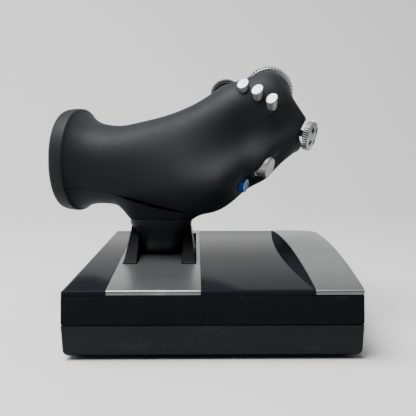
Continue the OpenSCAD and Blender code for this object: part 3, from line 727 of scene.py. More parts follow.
def grain_group():
    """Fine moulded or sprayed grain, as a height."""
    group, n, i, o = new_group(
        "Fine grain",
        [("Vector", VECTOR, None), ("Scale", FLOAT, 900.0), ("Softness", FLOAT, 0.5)],
        [("Height", FLOAT)])
    cells = n.add("ShaderNodeTexVoronoi", feature="SMOOTH_F1")
    n.link(i["Vector"], cells.inputs["Vector"])
    n.link(i["Scale"], cells.inputs["Scale"])
    n.link(i["Softness"], cells.inputs["Smoothness"])
    cloud = n.add("ShaderNodeTexNoise")
    cloud.inputs["Detail"].default_value = 3
    n.link(i["Vector"], cloud.inputs["Vector"])
    n.link(i["Scale"], cloud.inputs["Scale"])
    n.link(n.maths("ADD", cells.outputs["Distance"], cloud.outputs["Fac"]), o["Height"])
    return group


def handling_group():
    """Where hands have polished or smeared a surface: a broad mask and a patchy roughness."""
    group, n, i, o = new_group(
        "Handling",
        [("Vector", VECTOR, None), ("Clean roughness", FLOAT, 0.4), ("Worn roughness", FLOAT, 0.3)],
        [("Roughness", FLOAT), ("Mask", FLOAT)])
    broad = n.noise(i["Vector"], 22.0, 5.0, 0.6)
    fine = n.noise(n.squashed(i["Vector"], (1, 1, 2.4)), 140.0, 4.0, 0.65)
    blend = n.maths("ADD", n.maths("MULTIPLY", broad, 0.7), n.maths("MULTIPLY", fine, 0.3))
    mask = n.spread(blend, 0.38, 0.66, 0, 1)
    n.link(mask, o["Mask"])
    n.link(n.spread(mask, 0, 1, i["Clean roughness"], i["Worn roughness"]), o["Roughness"])
    return group


def dust_group():
    """Sparse specks of dust and lint, as a mask."""
    group, n, i, o = new_group(
        "Dust specks", [("Vector", VECTOR, None), ("Scale", FLOAT, 260.0), ("Amount", FLOAT, 0.06)],
        [("Mask", FLOAT)])
    specks = n.add("ShaderNodeTexVoronoi", feature="F1")
    n.link(i["Vector"], specks.inputs["Vector"])
    n.link(i["Scale"], specks.inputs["Scale"])
    dot = n.maths("LESS_THAN", specks.outputs["Distance"], i["Amount"])
    patches = n.spread(n.noise(i["Vector"], 35.0), 0.5, 0.62, 0, 1)
    n.link(n.maths("MULTIPLY", dot, patches), o["Mask"])
    return group


def scratch_group():
    """Hairline scratches in two directions, as a mask."""
    group, n, i, o = new_group(
        "Hairlines", [("Vector", VECTOR, None), ("Scale", FLOAT, 60.0)], [("Mask", FLOAT)])
    masks = []
    for stretch in ((1, 30, 1), (34, 1.2, 1)):
        line = n.add("ShaderNodeTexNoise")
        line.inputs["Detail"].default_value = 2
        n.link(n.squashed(i["Vector"], stretch), line.inputs["Vector"])
        n.link(i["Scale"], line.inputs["Scale"])
        masks.append(n.spread(line.outputs["Fac"], 0.66, 0.72, 0, 1))
    n.link(n.maths("MAXIMUM", masks[0], masks[1]), o["Mask"])
    return group


def brushed_group():
    """Fine drawn lines of machined metal: a height and a roughness."""
    group, n, i, o = new_group(
        "Drawn lines",
        [("Vector", VECTOR, None), ("Scale", FLOAT, 300.0), ("Low", FLOAT, 0.2), ("High", FLOAT, 0.4)],
        [("Height", FLOAT), ("Roughness", FLOAT)])
    line = n.add("ShaderNodeTexNoise")
    line.inputs["Detail"].default_value = 3
    n.link(n.squashed(i["Vector"], (1, 0.03, 1)), line.inputs["Vector"])
    n.link(i["Scale"], line.inputs["Scale"])
    n.link(line.outputs["Fac"], o["Height"])
    n.link(n.spread(line.outputs["Fac"], 0.3, 0.7, i["Low"], i["High"]), o["Roughness"])
    return group


EFFECTS = {}


def effect(name):
    """The named shader group, built once."""
    makers = {
        "grain": grain_group, "handling": handling_group, "dust": dust_group,
        "hairlines": scratch_group, "drawn": brushed_group,
    }
    if name not in EFFECTS:
        EFFECTS[name] = makers[name]()
    return EFFECTS[name]


class Finish:
    """A material with its coordinates, shader and effects at hand."""

    def __init__(self, name):
        self.material = bpy.data.materials.new(name)
        self.material.use_nodes = True
        self.n = Nodes(self.material.node_tree)
        self.shader = self.material.node_tree.nodes["Principled BSDF"]
        self.where = self.n.add("ShaderNodeTexCoord").outputs["Object"]

    def set(self, **values):
        for key, value in values.items():
            socket = self.shader.inputs[key.replace("_", " ")]
            if hasattr(value, "is_output"):
                self.n.link(value, socket)
            elif socket.type == "RGBA":
                socket.default_value = (*value[:3], 1)
            else:
                socket.default_value = value

    def effect(self, name, **values):
        node = self.n.add("ShaderNodeGroup")
        node.node_tree = effect(name)
        self.n.link(self.where, node.inputs["Vector"])
        for key, value in values.items():
            node.inputs[key.replace("_", " ")].default_value = value
        return node.outputs

    def bump(self, height, strength, distance=0.0001):
        node = self.n.add("ShaderNodeBump")
        node.inputs["Strength"].default_value = strength
        node.inputs["Distance"].default_value = distance
        self.n.link(height, node.inputs["Height"])
        self.n.link(node.outputs["Normal"], self.shader.inputs["Normal"])


def tinted(colour, factor):
    """Colour made lighter or darker."""
    return tuple(min(c * factor, 1) for c in colour)


# ---------------------------------------------------------------- finishes

def soft_touch():
    """Rubbery coat of the grip: fine grain, shine where hands rest, dust specks."""
    colour = tuple(sizes()[3].grip)
    f = Finish("Soft-touch coat")
    hands = f.effect("handling", Clean_roughness=0.62, Worn_roughness=0.50)
    dust = f.effect("dust", Scale=420.0, Amount=0.05)["Mask"]
    base = f.n.mix(hands["Mask"], colour, tinted(colour, 1.35))
    f.set(Base_Color=f.n.mix(f.n.maths("MULTIPLY", dust, 0.25), base, (0.3, 0.3, 0.3)))
    f.set(Roughness=hands["Roughness"], Sheen_Weight=0.02, Sheen_Roughness=0.5, Specular_IOR_Level=0.13)
    f.bump(f.effect("grain", Scale=1500.0)["Height"], 0.22, 0.00008)
    return f.material


def moulded_black(name, roughness, worn, shade=1.0, grain=0.12, shine=0.2):
    """Moulded black plastic of the base and column."""
    colour = tinted(tuple(sizes()[3].case), shade)
    f = Finish(name)
    hands = f.effect("handling", Clean_roughness=roughness, Worn_roughness=worn)
    dust = f.effect("dust", Scale=300.0, Amount=0.045)["Mask"]
    lines = f.effect("hairlines", Scale=50.0)["Mask"]
    base = f.n.mix(hands["Mask"], colour, tinted(colour, 1.12))
    base = f.n.mix(f.n.maths("MULTIPLY", lines, 0.012), base, (0.35, 0.35, 0.36))
    f.set(Base_Color=f.n.mix(f.n.maths("MULTIPLY", dust, 0.3), base, (0.4, 0.4, 0.4)))
    f.set(Roughness=hands["Roughness"], Specular_IOR_Level=shine)
    f.bump(f.effect("grain", Scale=1100.0)["Height"], grain, 0.00006)
    return f.material


def silver_paint():
    """Satin metallic paint: flake sparkle under a thin clear coat."""
    colour = tuple(sizes()[3].strip)
    f = Finish("Silver paint")
    flakes = f.n.add("ShaderNodeTexVoronoi", feature="F1")
    flakes.inputs["Scale"].default_value = 4200.0
    f.n.link(f.where, flakes.inputs["Vector"])
    sparkle = f.n.add("ShaderNodeSeparateColor")
    f.n.link(flakes.outputs["Color"], sparkle.inputs[0])
    hands = f.effect("handling", Clean_roughness=0.40, Worn_roughness=0.33)
    share = f.n.spread(sparkle.outputs[0], 0, 1, 0.2, 0.8)
    flake = f.n.mix(share, tinted(colour, 0.9), tinted(colour, 1.12))
    lines = f.effect("hairlines", Scale=45.0)["Mask"]
    f.set(Base_Color=f.n.mix(f.n.maths("MULTIPLY", lines, 0.08), flake, (0.8, 0.8, 0.8)))
    f.set(Metallic=0.85, Roughness=hands["Roughness"], Coat_Weight=0.25, Coat_Roughness=0.2)
    f.bump(sparkle.outputs[1], 0.05, 0.00004)
    return f.material


def bright_silver():
    """Plated plastic of the buttons, faintly frosted."""
    colour = tuple(sizes()[3].bright)
    f = Finish("Bright silver")
    hands = f.effect("handling", Clean_roughness=0.40, Worn_roughness=0.46)
    dust = f.effect("dust", Scale=600.0, Amount=0.06)["Mask"]
    base = f.n.mix(hands["Mask"], colour, tinted(colour, 0.93))
    f.set(Base_Color=f.n.mix(f.n.maths("MULTIPLY", dust, 0.4), base, (0.45, 0.45, 0.44)))
    f.set(Metallic=0.82, Roughness=hands["Roughness"])
    f.bump(f.effect("grain", Scale=2600.0)["Height"], 0.08, 0.00004)
    return f.material


def clear_blue():
    """Clear blue plastic with a painted glow inside it."""
    colour = tuple(sizes()[3].blue)
    f = Finish("Clear blue")
    depth = f.n.spread(f.n.noise(f.where, 420.0, 3.0), 0.42, 0.7, 0, 1)
    f.set(Base_Color=f.n.mix(depth, colour, (0.004, 0.09, 0.34)))
    f.set(Roughness=f.effect("handling", Clean_roughness=0.10, Worn_roughness=0.2)["Roughness"])
    # painted glow: faint emission following the same noise as the tone
    f.set(Emission_Color=f.n.mix(depth, (0.0, 0.01, 0.08), (0.0, 0.06, 0.28)), Emission_Strength=0.15)
    f.set(Transmission_Weight=0.1, IOR=1.49, Specular_IOR_Level=0.2)
    f.bump(f.n.noise(f.where, 700.0, 2.0), 0.10, 0.0001)
    return f.material


def dark_inlay_and_shade():
    """Dark marks on the hat cap, and painted shade: the dark grooves between ribs and the dark ring under the
    index button's cap.
    """
    f = Finish("Dark inlay and painted shade")
    tone = f.n.noise(f.where, 900.0)
    f.set(Base_Color=f.n.mix(tone, (0.006, 0.006, 0.007), (0.012, 0.012, 0.013)))
    f.set(Roughness=f.n.spread(tone, 0.3, 0.7, 0.5, 0.65), Specular_IOR_Level=0.15)
    f.bump(f.effect("grain", Scale=2200.0)["Height"], 0.1, 0.00004)
    return f.material


def plain_finish(
        name, colour, metallic, low_roughness, high_roughness, scale=400.0, strength=0.15, spread=0.2):
    """Finish of an inner piece: mottled colour, uneven shine and a fine grain."""
    f = Finish(name)
    tone = f.n.noise(f.where, scale / 4, 5.0)
    mottled = f.n.mix(tone, tinted(colour, 1 - spread), tinted(colour, 1 + spread))
    f.set(Base_Color=mottled, Metallic=metallic)
    f.set(Roughness=f.n.spread(tone, 0.3, 0.7, low_roughness, high_roughness))
    f.bump(f.effect("grain", Scale=scale)["Height"], strength, 0.00006)
    return f.material


def drawn_metal(name, colour, low_roughness, high_roughness, scale=500.0):
    """Machined or rolled metal with drawn lines."""
    f = Finish(name)
    lines = f.effect("drawn", Scale=scale, Low=low_roughness, High=high_roughness)
    tone = f.n.noise(f.where, 60.0, 4.0)
    f.set(Base_Color=f.n.mix(tone, tinted(colour, 0.85), tinted(colour, 1.1)), Metallic=1.0)
    f.set(Roughness=lines["Roughness"])
    f.bump(lines["Height"], 0.12, 0.00004)
    return f.material


def board_green():
    """Circuit board: green mask over a faint pattern of tracks."""
    f = Finish("Circuit board")
    tracks = f.n.add("ShaderNodeTexBrick")
    tracks.inputs["Scale"].default_value = 160.0
    tracks.inputs["Mortar Size"].default_value = 0.035
    tracks.inputs["Color1"].default_value = (0.010, 0.085, 0.040, 1)
    tracks.inputs["Color2"].default_value = (0.008, 0.070, 0.034, 1)
    tracks.inputs["Mortar"].default_value = (0.030, 0.170, 0.080, 1)
    f.n.link(f.where, tracks.inputs["Vector"])
    f.set(Base_Color=tracks.outputs["Color"])
    handled = f.effect("handling", Clean_roughness=0.35, Worn_roughness=0.25)
    f.set(Roughness=handled["Roughness"], Coat_Weight=0.2)
    f.bump(tracks.outputs["Fac"], 0.2, 0.00005)
    return f.material


MATERIALS = {}
RECIPES = {
    "black_gloss": lambda: moulded_black("Moulded black, gloss", 0.16, 0.14, 1.0, 0.04, 0.011),
    # darker copy of the deck's black with no shine: painted shade on the sweep beside the right strip
    "black_sweep_shaded": lambda: moulded_black("Moulded black, sweep, painted shade", 0.5, 0.45, 0.9, 0.04, 0.001),
    "black_satin": lambda: moulded_black("Moulded black, satin", 0.40, 0.37, 1.0, 0.2, 0.13),
    "black_column": lambda: moulded_black("Moulded black, column", 0.42, 0.32, 0.8, 0.1),
    "silver_paint": silver_paint,
    "rubber": lambda: plain_finish("Foot rubber", (0.022, 0.022, 0.022), 0.0, 0.7, 0.9, 700.0, 0.3),
    "steel": lambda: drawn_metal("Screw steel", (0.42, 0.42, 0.43), 0.25, 0.45),
    "plate_steel": lambda: drawn_metal("Plate steel", (0.5, 0.51, 0.52), 0.3, 0.5, 220.0),
    "circuit_board": board_green,
    "chip_black": lambda: plain_finish("Chip black", (0.02, 0.02, 0.021), 0.0, 0.4, 0.6),
    "ground_steel": lambda: drawn_metal("Ground steel", (0.66, 0.66, 0.67), 0.1, 0.2, 900.0),
    "white_nylon": lambda: plain_finish("White nylon", (0.72, 0.70, 0.64), 0.0, 0.4, 0.55, 600.0, 0.1, 0.06),
    "bronze": lambda: drawn_metal("Bearing bronze", (0.52, 0.34, 0.16), 0.25, 0.4),
    "felt": lambda: plain_finish("Felt", (0.32, 0.28, 0.2), 0.0, 0.9, 1.0, 1400.0, 0.6),
    "spring_steel": lambda: drawn_metal("Spring steel", (0.55, 0.55, 0.56), 0.15, 0.3),
    "grip_soft_touch": soft_touch,
    "bright_silver": bright_silver,
    "blue_translucent": clear_blue,
    "dark_inlay_and_shade": dark_inlay_and_shade,
}


def finish_of(slot):
    """Material of a slot, made the first time it is asked for."""
    if slot not in MATERIALS:
        MATERIALS[slot] = RECIPES[slot]()
    return MATERIALS[slot]


# ---------------------------------------------------------------- pieces of the base

def ring_stack(name, rows):
    """Solid of the base's outline at rows of (height, inset)."""
    return loft(name, [outline(inset, z) for z, inset in rows])


def quarter(radius, z, inset, up, count=5):
    """Rows of a rounded outer edge that ends at height z and starts at the given inset."""
    rows = []
    for k in range(count + 1):
        a = math.pi / 2 * k / count
        drop = radius * (1 - math.sin(a))
        shrink = radius * (1 - math.cos(a))
        rows.append((z - drop if up else z + drop, inset + shrink))
    return rows if up else list(reversed(rows))


def slot_boxes(z0, z1, gap=0.5):
    """Cutters for the two slots that the fins run in."""
    cutters = []
    for side in (-1, 1):
        x = LEVER_X + side * (FIN_OUT - FIN_T / 2)
        a = (x - FIN_T / 2 - gap, SLOT_Y[0], z0)
        b = (x + FIN_T / 2 + gap, SLOT_Y[1], z1)
        cutters.append(block("slot_cutter", a, b))
    return cutters


def port_cutter():
    """Cutter for the recess round the cord socket, in the rear wall."""
    port = turned("port_cutter", [(PORT_R, 6), (PORT_R, -6)], 40)
    cap_ends(port)
    stand = Matrix.Translation(Vector((PORT_X, HALF_D, PORT_Z)) * MM)
    return place(port, stand @ Matrix.Rotation(math.pi / 2, 4, "X"))


def strip_cutters():
    """Cutters for the lever strip's bed and for the lips of both strips."""
    left, right = STRIP_X[0] - 0.2, STRIP_X[1] + 0.2
    top, front, lip_back = DECK_Z + 2, -HALF_D - 2, -HALF_D + 1.5
    return [
        block("strip_cutter", (left, front, DECK_Z - 1.1), (right, HALF_D + 2, top)),
        block("lip_cutter", (left, front, DECK_Z - LIP_DROP), (right, lip_back, top)),
        block("lip_cutter", (SIDE_EDGE[0] - 0.2, front, DECK_Z - LIP_DROP), (HALF_W + 2, lip_back, top)),
    ]


def upper_shell():
    """Upper shell: walls with a rounded deck edge, a groove below it, strip recesses and slots."""
    base = sizes()[0]
    rows = [(SEAM_Z + 0.1, 1.0), (SEAM_Z + 0.2, 0.45), (SEAM_Z + 0.5, 0.12), (SEAM_Z + 0.9, 0.02)]
    groove_foot = DECK_Z - 2.75 - base.groove
    rows += [(groove_foot - 0.12, 0.40), (groove_foot - 0.02, 0.50), (groove_foot + 0.03, 0.85)]
    rows += [(DECK_Z - 2.78, 0.85), (DECK_Z - 2.73, 0.52), (DECK_Z - 2.6, 0.45)]
    rows += quarter(base.edge_round, DECK_Z, 0.5, True)
    shell = ring_stack("base_upper_shell_skin", rows)
    hollow = ring_stack("hollow_cutter", [(SEAM_Z - 2, 3.0), (DECK_Z - 2.4, 3.0)])
    cut(shell, [hollow, port_cutter()] + strip_cutters() + slot_boxes(SEAM_Z, DECK_Z + 2))
    return crease_by_angle(shell, 30)


def cap_ends(obj):
    """Closes the open ends of a turned cutter."""
    bm = bmesh.new()
    bm.from_mesh(obj.data)
    bmesh.ops.holes_fill(bm, edges=[e for e in bm.edges if e.is_boundary], sides=0)
    bmesh.ops.recalc_face_normals(bm, faces=bm.faces)
    bm.to_mesh(obj.data)
    bm.free()


def side_crown():
    """Black foot of the right strip: a hollow sweep from the deck up to the strip's left edge."""
    base = sizes()[0]
    rings = []
    for y in steps_between(-HALF_D + 1.2, HALF_D - 1.2, 64):
        height = max(arch(y) - 0.08, 0.02)
        edge = strip_left(y) - 0.25
        right = strip_right(y, 0.62)
        width = base.fillet * height + 0.3
        ring = [Vector((edge - width, y, DECK_Z - 1.5))]
        for t in steps_between(0, 1, 10):
            ring.append(Vector((edge - width * (1 - t), y, DECK_Z + 0.01 + height * t ** 2.3)))
        ring.append(Vector((edge + 0.02, y, DECK_Z + height - 0.95)))
        ring.append(Vector((right, y, DECK_Z + height - 0.95)))
        ring.append(Vector((right, y, DECK_Z - 1.5)))
        rings.append(list(reversed(ring)))
    return crease_by_angle(loft("side_crown_skin", rings), 40)


def swept_strip(name, left, right, height, start):
    """Sheet that climbs over the deck's front edge and follows the deck, then a wall and rounded edges."""
    base = sizes()[0]
    radius = 1.3
    path = [(-HALF_D + 0.42, DECK_Z - 2.55), (-HALF_D + 0.4, DECK_Z - radius - 0.02)]
    for k in range(1, 7):
        a = math.pi / 2 * k / 6
        path.append((-HALF_D + 0.4 + radius * (1 - math.cos(a)), DECK_Z - radius * (1 - math.sin(a))))
    for y in steps_between(start + 3, HALF_D - 0.55, 60):
        path.append((y, DECK_Z))
    rings = []
    for y, z in path:
        run = max(y, -HALF_D + 1.7)
        lift = height(run) if y > start else 0.0
        a, b = left(run), right(run)
        rings.append([Vector((a + (b - a) * t, y, z + lift + 0.06)) for t in steps_between(0, 1, 10)])
    obj = loft(name, rings, closed=False, capped=False)
    bm = bmesh.new()
    bm.from_mesh(obj.data)
    if sum(f.normal.z for f in bm.faces) < 0:
        bmesh.ops.reverse_faces(bm, faces=bm.faces)
    bm.to_mesh(obj.data)
    bm.free()
    wall = obj.modifiers.new("Wall", "SOLIDIFY")
    wall.thickness = 0.95 * MM
    wall.offset = -1
    wall.use_even_offset = True
    bake(obj)
    return soften(obj, base.strip_round, 3, 50)


def lever_strip_skin():
    """Silver strip with the two slots."""
    obj = swept_strip(
        "lever_strip_skin", lambda y: STRIP_X[0], lambda y: STRIP_X[1], lambda y: 0.0, -HALF_D + 1.7)
    obj.modifiers.clear()
    cut(obj, slot_boxes(DECK_Z - 4, DECK_Z + 2))
    return soften(obj, 0.22, 2, 50)


def lower_shell():
    """Lower shell: tapering walls, a rounded underside edge, foot recesses and screw wells."""
    base = sizes()[0]
    rows = sorted(quarter(base.foot_round, FLOOR_Z, 0.75, False, 7))
    rows += [(SEAM_Z - 0.7, 0.04), (SEAM_Z - 0.3, 0.12), (SEAM_Z - 0.12, 0.4), (SEAM_Z - 0.08, 0.9)]
    shell = ring_stack("base_lower_shell_skin", rows)
    hollow = ring_stack("hollow_cutter", [(FLOOR_Z + 2.4, 5.5), (FLOOR_Z + 6, 3.4), (SEAM_Z + 2, 3.0)])
    cutters = [hollow]
    for node, recess in (("rubber_feet", FOOT_RECESS), ("case_screws", SCREW_RECESS)):
        cutters += [well_cutter(x, y, *recess) for x, y in islands(node)]
    cut(shell, cutters + [port_cutter()])
    return crease_by_angle(shell, 30)


def islands(node):
    """Middles, in plan, of the separate solids of a CAD node."""
    bm = bmesh.new()
    bm.from_mesh(frame["nodes"][node].data)
    bmesh.ops.remove_doubles(bm, verts=bm.verts, dist=0.00001)
    seen, middles = set(), []
    for vert in bm.verts:
        if vert in seen:
            continue
        group, queue = [], [vert]
        seen.add(vert)
        while queue:
            here = queue.pop()
            group.append(here.co)
            for edge in here.link_edges:
                other = edge.other_vert(here)
                if other not in seen:
                    seen.add(other)
                    queue.append(other)
        xs, ys = [c.x for c in group], [c.y for c in group]
        middles.append(((min(xs) + max(xs)) / 2 / MM, (min(ys) + max(ys)) / 2 / MM))
    bm.free()
    return middles


def well_cutter(x, y, radius, depth):
    """Round cutter with a small countersink at the underside."""
    wide = radius + 0.4
    profile = [(radius, FLOOR_Z + depth), (radius, FLOOR_Z + 0.3), (wide, FLOOR_Z), (wide, FLOOR_Z - 2)]
    cutter = turned("well_cutter", profile, 32)
    cap_ends(cutter)
    return place(cutter, Matrix.Translation(Vector((x, y, 0)) * MM))


def rubber_feet_skin():
    """Round feet with a rolled rim and a shallow dish underneath."""
    feet = []
    profile = [
        (0, 2.3), (5.6, 2.3), (5.9, 2.1), (5.95, 0.9), (5.8, 0.35), (5.4, 0.06), (4.9, 0.0), (4.3, 0.12),
        (2.0, 0.28), (0, 0.3)]
    for x, y in islands("rubber_feet"):
        foot = turned("foot", profile, 40)
        feet.append(place(foot, Matrix.Translation(Vector((x, y, 0)) * MM)))
    return crease_by_angle(join("rubber_feet_skin", feet), 50)


# ---------------------------------------------------------------- pieces of the lever

def fin_skin(side):
    """Fin of the column: upright inside face, outside face that draws in as it rises."""
    profile = [
        (-28, 24), (-28, 36.2), (-18, 40.2), (-8, 44.6), (0, 49.6), (4.5, 55.2), (23.5, 55.2), (26, 50),
        (28.6, 42), (29, 36), (29, 24)]
    root_z, rise, full_draw = 36, 19, 3.0
    rings = []
    for outer in (False, True):
        ring = []
        for y, z in profile:
            draw = full_draw * min(max(z - root_z, 0) / rise, 1)
            x = FIN_OUT - draw if outer else FIN_OUT - FIN_T
            ring.append(Vector((LEVER_X + side * x, y, z)))
        rings.append(ring)
    if side > 0:
        rings.reverse()
    return loft("fin", rings)


def column_skin():
    """Column: two fins and the web between them, which spreads at its top and is rounded at its foot."""
    # Rows: height, half width, front, back
    rows = [
        (58.0, 18.7, -7.9, 25.9), (55.2, 18.6, -7.8, 25.8), (53.4, 17.4, -7.6, 25.4),
        (51.2, 15.3, -7.2, 24.8), (48.5, 13.5, -6.4, 24.2), (45.5, 13.3, -5.7, 24), (42.5, 13.3, -4.5, 24),
        (40.2, 13.3, -2.9, 24), (38.2, 13.3, -1.6, 24), (36.6, 13.3, 0.6, 23.6), (36.1, 13.3, 4.0, 21)]
    squareness = 0.42
    rings = []
    for z, half, front, back in rows:
        centre, reach = (front + back) / 2, (back - front) / 2
        ring = []
        for k in range(48):
            c, d = math.cos(2 * math.pi * k / 48), math.sin(2 * math.pi * k / 48)
            x = LEVER_X + half * math.copysign(abs(c) ** squareness, c)
            y = centre + reach * math.copysign(abs(d) ** squareness, d)
            ring.append(Vector((x, y, z)))
        rings.append(ring)
    rings.reverse()
    pieces = [fin_skin(-1), fin_skin(1), loft("web", rings)]
    for piece in pieces:
        face_outward(piece)
    return soften(join("lever_column_skin", pieces), 0.7, 4, 28)


# ---------------------------------------------------------------- pieces of the grip

def well(radius, top, foot, control):
    """Round cutter along a control's axis, from top to foot measured from its face."""
    cutter = turned("well", [(radius, top), (radius, foot)], 40)
    cap_ends(cutter)
    return place(cutter, seat(*control[:3]))


def button_wells():
    """Cutters for the wells of every button in the top shell."""
    gap = sizes()[2].well_gap
    cutters = []
    for name, control in CONTROLS.items():
        share = 0.6 if name.startswith("small") else 0.45
        cutters.append(well(control[3] + gap * share, 8, -16, control))
    return cutters


def top_shell():
    """Top shell of the grip, with the wells of its buttons."""
    shell = grip_shell("grip_top_shell_skin", True)
    neck = well(HAT_WELL_R, 4, -9.5, HAT)
    hub = well(DIAL_WELL_R, 4, -9.5, DIAL)
    cut(shell, button_wells() + [neck, hub])
    return crease_by_angle(shell, 38)


def bottom_shell():
    """Bottom shell of the grip, swept into the funnel round the column."""
    gap = sizes()[2].well_gap
    shell = grip_shell("grip_lower_shell_skin", False)
    cutters = []
    for name in ("silver_button", "blue_button"):
        cutters.append(well(CONTROLS[name][3] + gap * 0.45, 6, -12, CONTROLS[name]))
    for x, y in islands("grip_screws"):
        cutter = turned("screw_well", [(SCREW_WELL_R, 74), (SCREW_WELL_R, 40)], 28)
        cap_ends(cutter)
        cutters.append(place(cutter, Matrix.Translation(Vector((x, y, 0)) * MM)))
    cut(shell, cutters)
    return crease_by_angle(shell, 38)


def button_sleeves():
    """Sleeves inside the grip that guide the buttons."""
    top, foot, wall, play = -8.2, -10.6, 1.0, 0.8
    sleeves = []
    for control in CONTROLS.values():
        r = control[3] + play
        profile = [(r, top), (r, foot), (r + wall, foot), (r + wall, top), (r, top)]
        sleeves.append(place(turned("sleeve", profile, 36), seat(*control[:3])))
    return crease_by_angle(join("button_sleeves", sleeves), 40)


# ---------------------------------------------------------------- controls

def small_button(name):
    """Small round button: slanted, dished top with a fine rim, and a skirt that keeps it in its well."""
    control = CONTROLS[name]
    r = control[3]
    profile = [
        (0, -0.16), (r * 0.55, -0.12), (r * 0.82, 0.0), (r * 0.93, 0.0), (r * 0.985, -0.12), (r, -0.4),
        (r, -9.3), (r + 0.4, -9.4), (r + 0.45, -10.2), (0, -10.25)]
    obj = place(turned(name + "_skin", profile, 56), seat(*control[:3]))
    axis = axis_of(control[1], control[2])
    slant = axis_of(*SMALL_SLANT)
    for vertex in obj.data.vertices:
        away = vertex.co / MM - Vector(control[0])
        if away.dot(axis) > -0.6:
            away -= axis * away.dot(axis)
            vertex.co -= axis * (away.dot(slant) / axis.dot(slant)) * MM
    return crease_by_angle(obj, 50)


def silver_button():
    """Large silver button: broad chamfer, a raised ring and a shallow dish."""
    control = CONTROLS["silver_button"]
    r = control[3]
    profile = [
        (0, -0.42), (r * 0.42, -0.38), (r * 0.5, -0.22), (r * 0.56, -0.2), (r * 0.76, -0.05),
        (r * 0.84, 0.0), (r * 0.9, -0.1), (r, -0.95), (r, -6.3), (r + 0.5, -6.5), (r + 0.6, -7.6),
        (0, -7.65)]
    return crease_by_angle(place(turned("silver_button_skin", profile, 72), seat(*control[:3])), 40)


def index_button():
    """Index button: a broad domed cap on a narrower stem."""
    control = CONTROLS["index_button"]
    r = control[3]
    profile = [
        (0, -0.02), (r * 0.4, -0.06), (r * 0.85, -0.15), (r * 1.15, -0.35), (r * 1.23, -0.8),
        (r * 1.24, -1.9), (r * 1.2, -2.1), (r, -2.2), (r, -6.9), (r + 0.5, -7.0), (r + 0.6, -8.1),
        (0, -8.15)]
    return crease_by_angle(place(turned("index_button_skin", profile, 72), seat(*control[:3])), 50)


def index_shade_ring():
    """Black ring under the index button's cap: painted shade in the gap between cap and collar."""
    control = CONTROLS["index_button"]
    r = control[3]
    profile = [
        (r + 0.05, -2.25), (r * 1.13, -2.3), (r * 1.14, -2.5), (r * 1.13, -2.9), (r + 0.05, -3.0),
        (r + 0.05, -2.25)]
    return crease_by_angle(place(turned("index_shade_ring", profile, 72), seat(*control[:3])), 50)


def blue_button():
    """Clear blue button with lobes round its rim: a cage of rings, smoothed."""
    controls = sizes()[2]
    control = CONTROLS["blue_button"]
    r = control[3]
    lobe_depth = 0.15
    # Rows: height, share of the radius, share of the lobes' depth
    rows = [
        (-7.4, 0.92, 0), (-6.2, 0.95, 0), (-4.6, 0.95, 0.4), (-3.9, 0.97, 1), (-1.3, 0.98, 1),
        (-0.45, 0.93, 0.9), (-0.1, 0.8, 0.5), (-0.25, 0.6, 0.1), (-0.55, 0.35, 0)]
    rings = []
    for z, size, depth in rows:
        ring = []
        for k in range(controls.lobes * 6):
            a = 2 * math.pi * k / (controls.lobes * 6)
            lobe = 1 - lobe_depth * depth * (0.5 + 0.5 * math.cos(controls.lobes * a)) ** 1.6
            ring.append(Vector((r * size * lobe * math.cos(a), r * size * lobe * math.sin(a), z)))
        rings.append(ring)
    obj = round_off(loft("blue_button_skin", rings), 2)
    bake(obj)
    return crease_by_angle(place(obj, seat(*control[:3])), 60)


def ribs(name, radius, count, width, depth, z0, z1):
    """Ring of knurls as one mesh: each is a small bar with a rounded back and drawn-in ends."""
    half, shoulder, taper, end_size = width / 2, depth * 0.55, 0.25, 0.8
    points = [
        (-0.3, -half), (shoulder, -half), (depth, -half * 0.35), (depth, half * 0.35), (shoulder, half),
        (-0.3, half)]
    bm = bmesh.new()
    for k in range(count):
        turn = Matrix.Rotation(2 * math.pi * k / count, 3, "Z")
        rows = []
        for z, size in ((z0, end_size), (z0 + taper, 1.0), (z1 - taper, 1.0), (z1, end_size)):
            rows.append([bm.verts.new(turn @ Vector((radius + x * size, y * size, z))) for x, y in points])
        for row, following in zip(rows, rows[1:]):
            for j in range(len(points)):
                m = (j + 1) % len(points)
                bm.faces.new((row[j], row[m], following[m], following[j]))
        bm.faces.new(tuple(reversed(rows[0])))
        bm.faces.new(tuple(rows[-1]))
    return new_piece(name, bm)


def hat_cap():
    """Hat switch cap: deep knurls under a domed face, on a slim stem."""
    controls = sizes()[2]
    r = HAT_R
    profile = [
        (0, -0.02), (r * 0.3, -0.06), (r * 0.55, -0.24), (r * 0.75, -0.55), (r * 0.86, -0.9),
        (r * 0.90, -1.2), (r * 0.90, -4.4), (r * 0.86, -4.6), (2.2, -4.6), (2.0, -5.0), (2.0, -12.2),
        (0, -12.3)]
    body = turned("hat_body", profile, 80)
    knurls = ribs("hat_ribs", r * 0.90, controls.hat_ribs, 0.72, r * 0.09, -4.45, -1.2)
    cap = join("hat_cap_skin", [body, knurls])
    return crease_by_angle(place(cap, seat(*HAT)), 35)


def hat_marks():
    """Four dark wedges on the hat's face, pointing outward."""
    marks = []
    r = HAT_R
    for k in range(4):
        turn = Matrix.Rotation(math.radians(45 + 90 * k), 4, "Z")
        tip, back, half = r * 0.74, r * 0.42, r * 0.17
        points = [
            (back, -half), (back + 1.4, -half), (tip, -half * 0.7), (tip, half * 0.7), (back + 1.4, half),
            (back, half), (back - 0.3, 0)]
        drop = [0.13, 0.22, 0.5, 0.5, 0.22, 0.13, 0.1]
        rings = [
            [turn @ Vector((x, y, -d - 0.25)) for (x, y), d in zip(points, drop)],
            [turn @ Vector((x, y, -d + 0.10)) for (x, y), d in zip(points, drop)],
        ]
        marks.append(loft("mark", rings))
    obj = place(join("hat_marks", marks), seat(*HAT))
    return soften(obj, 0.05, 2, 40)


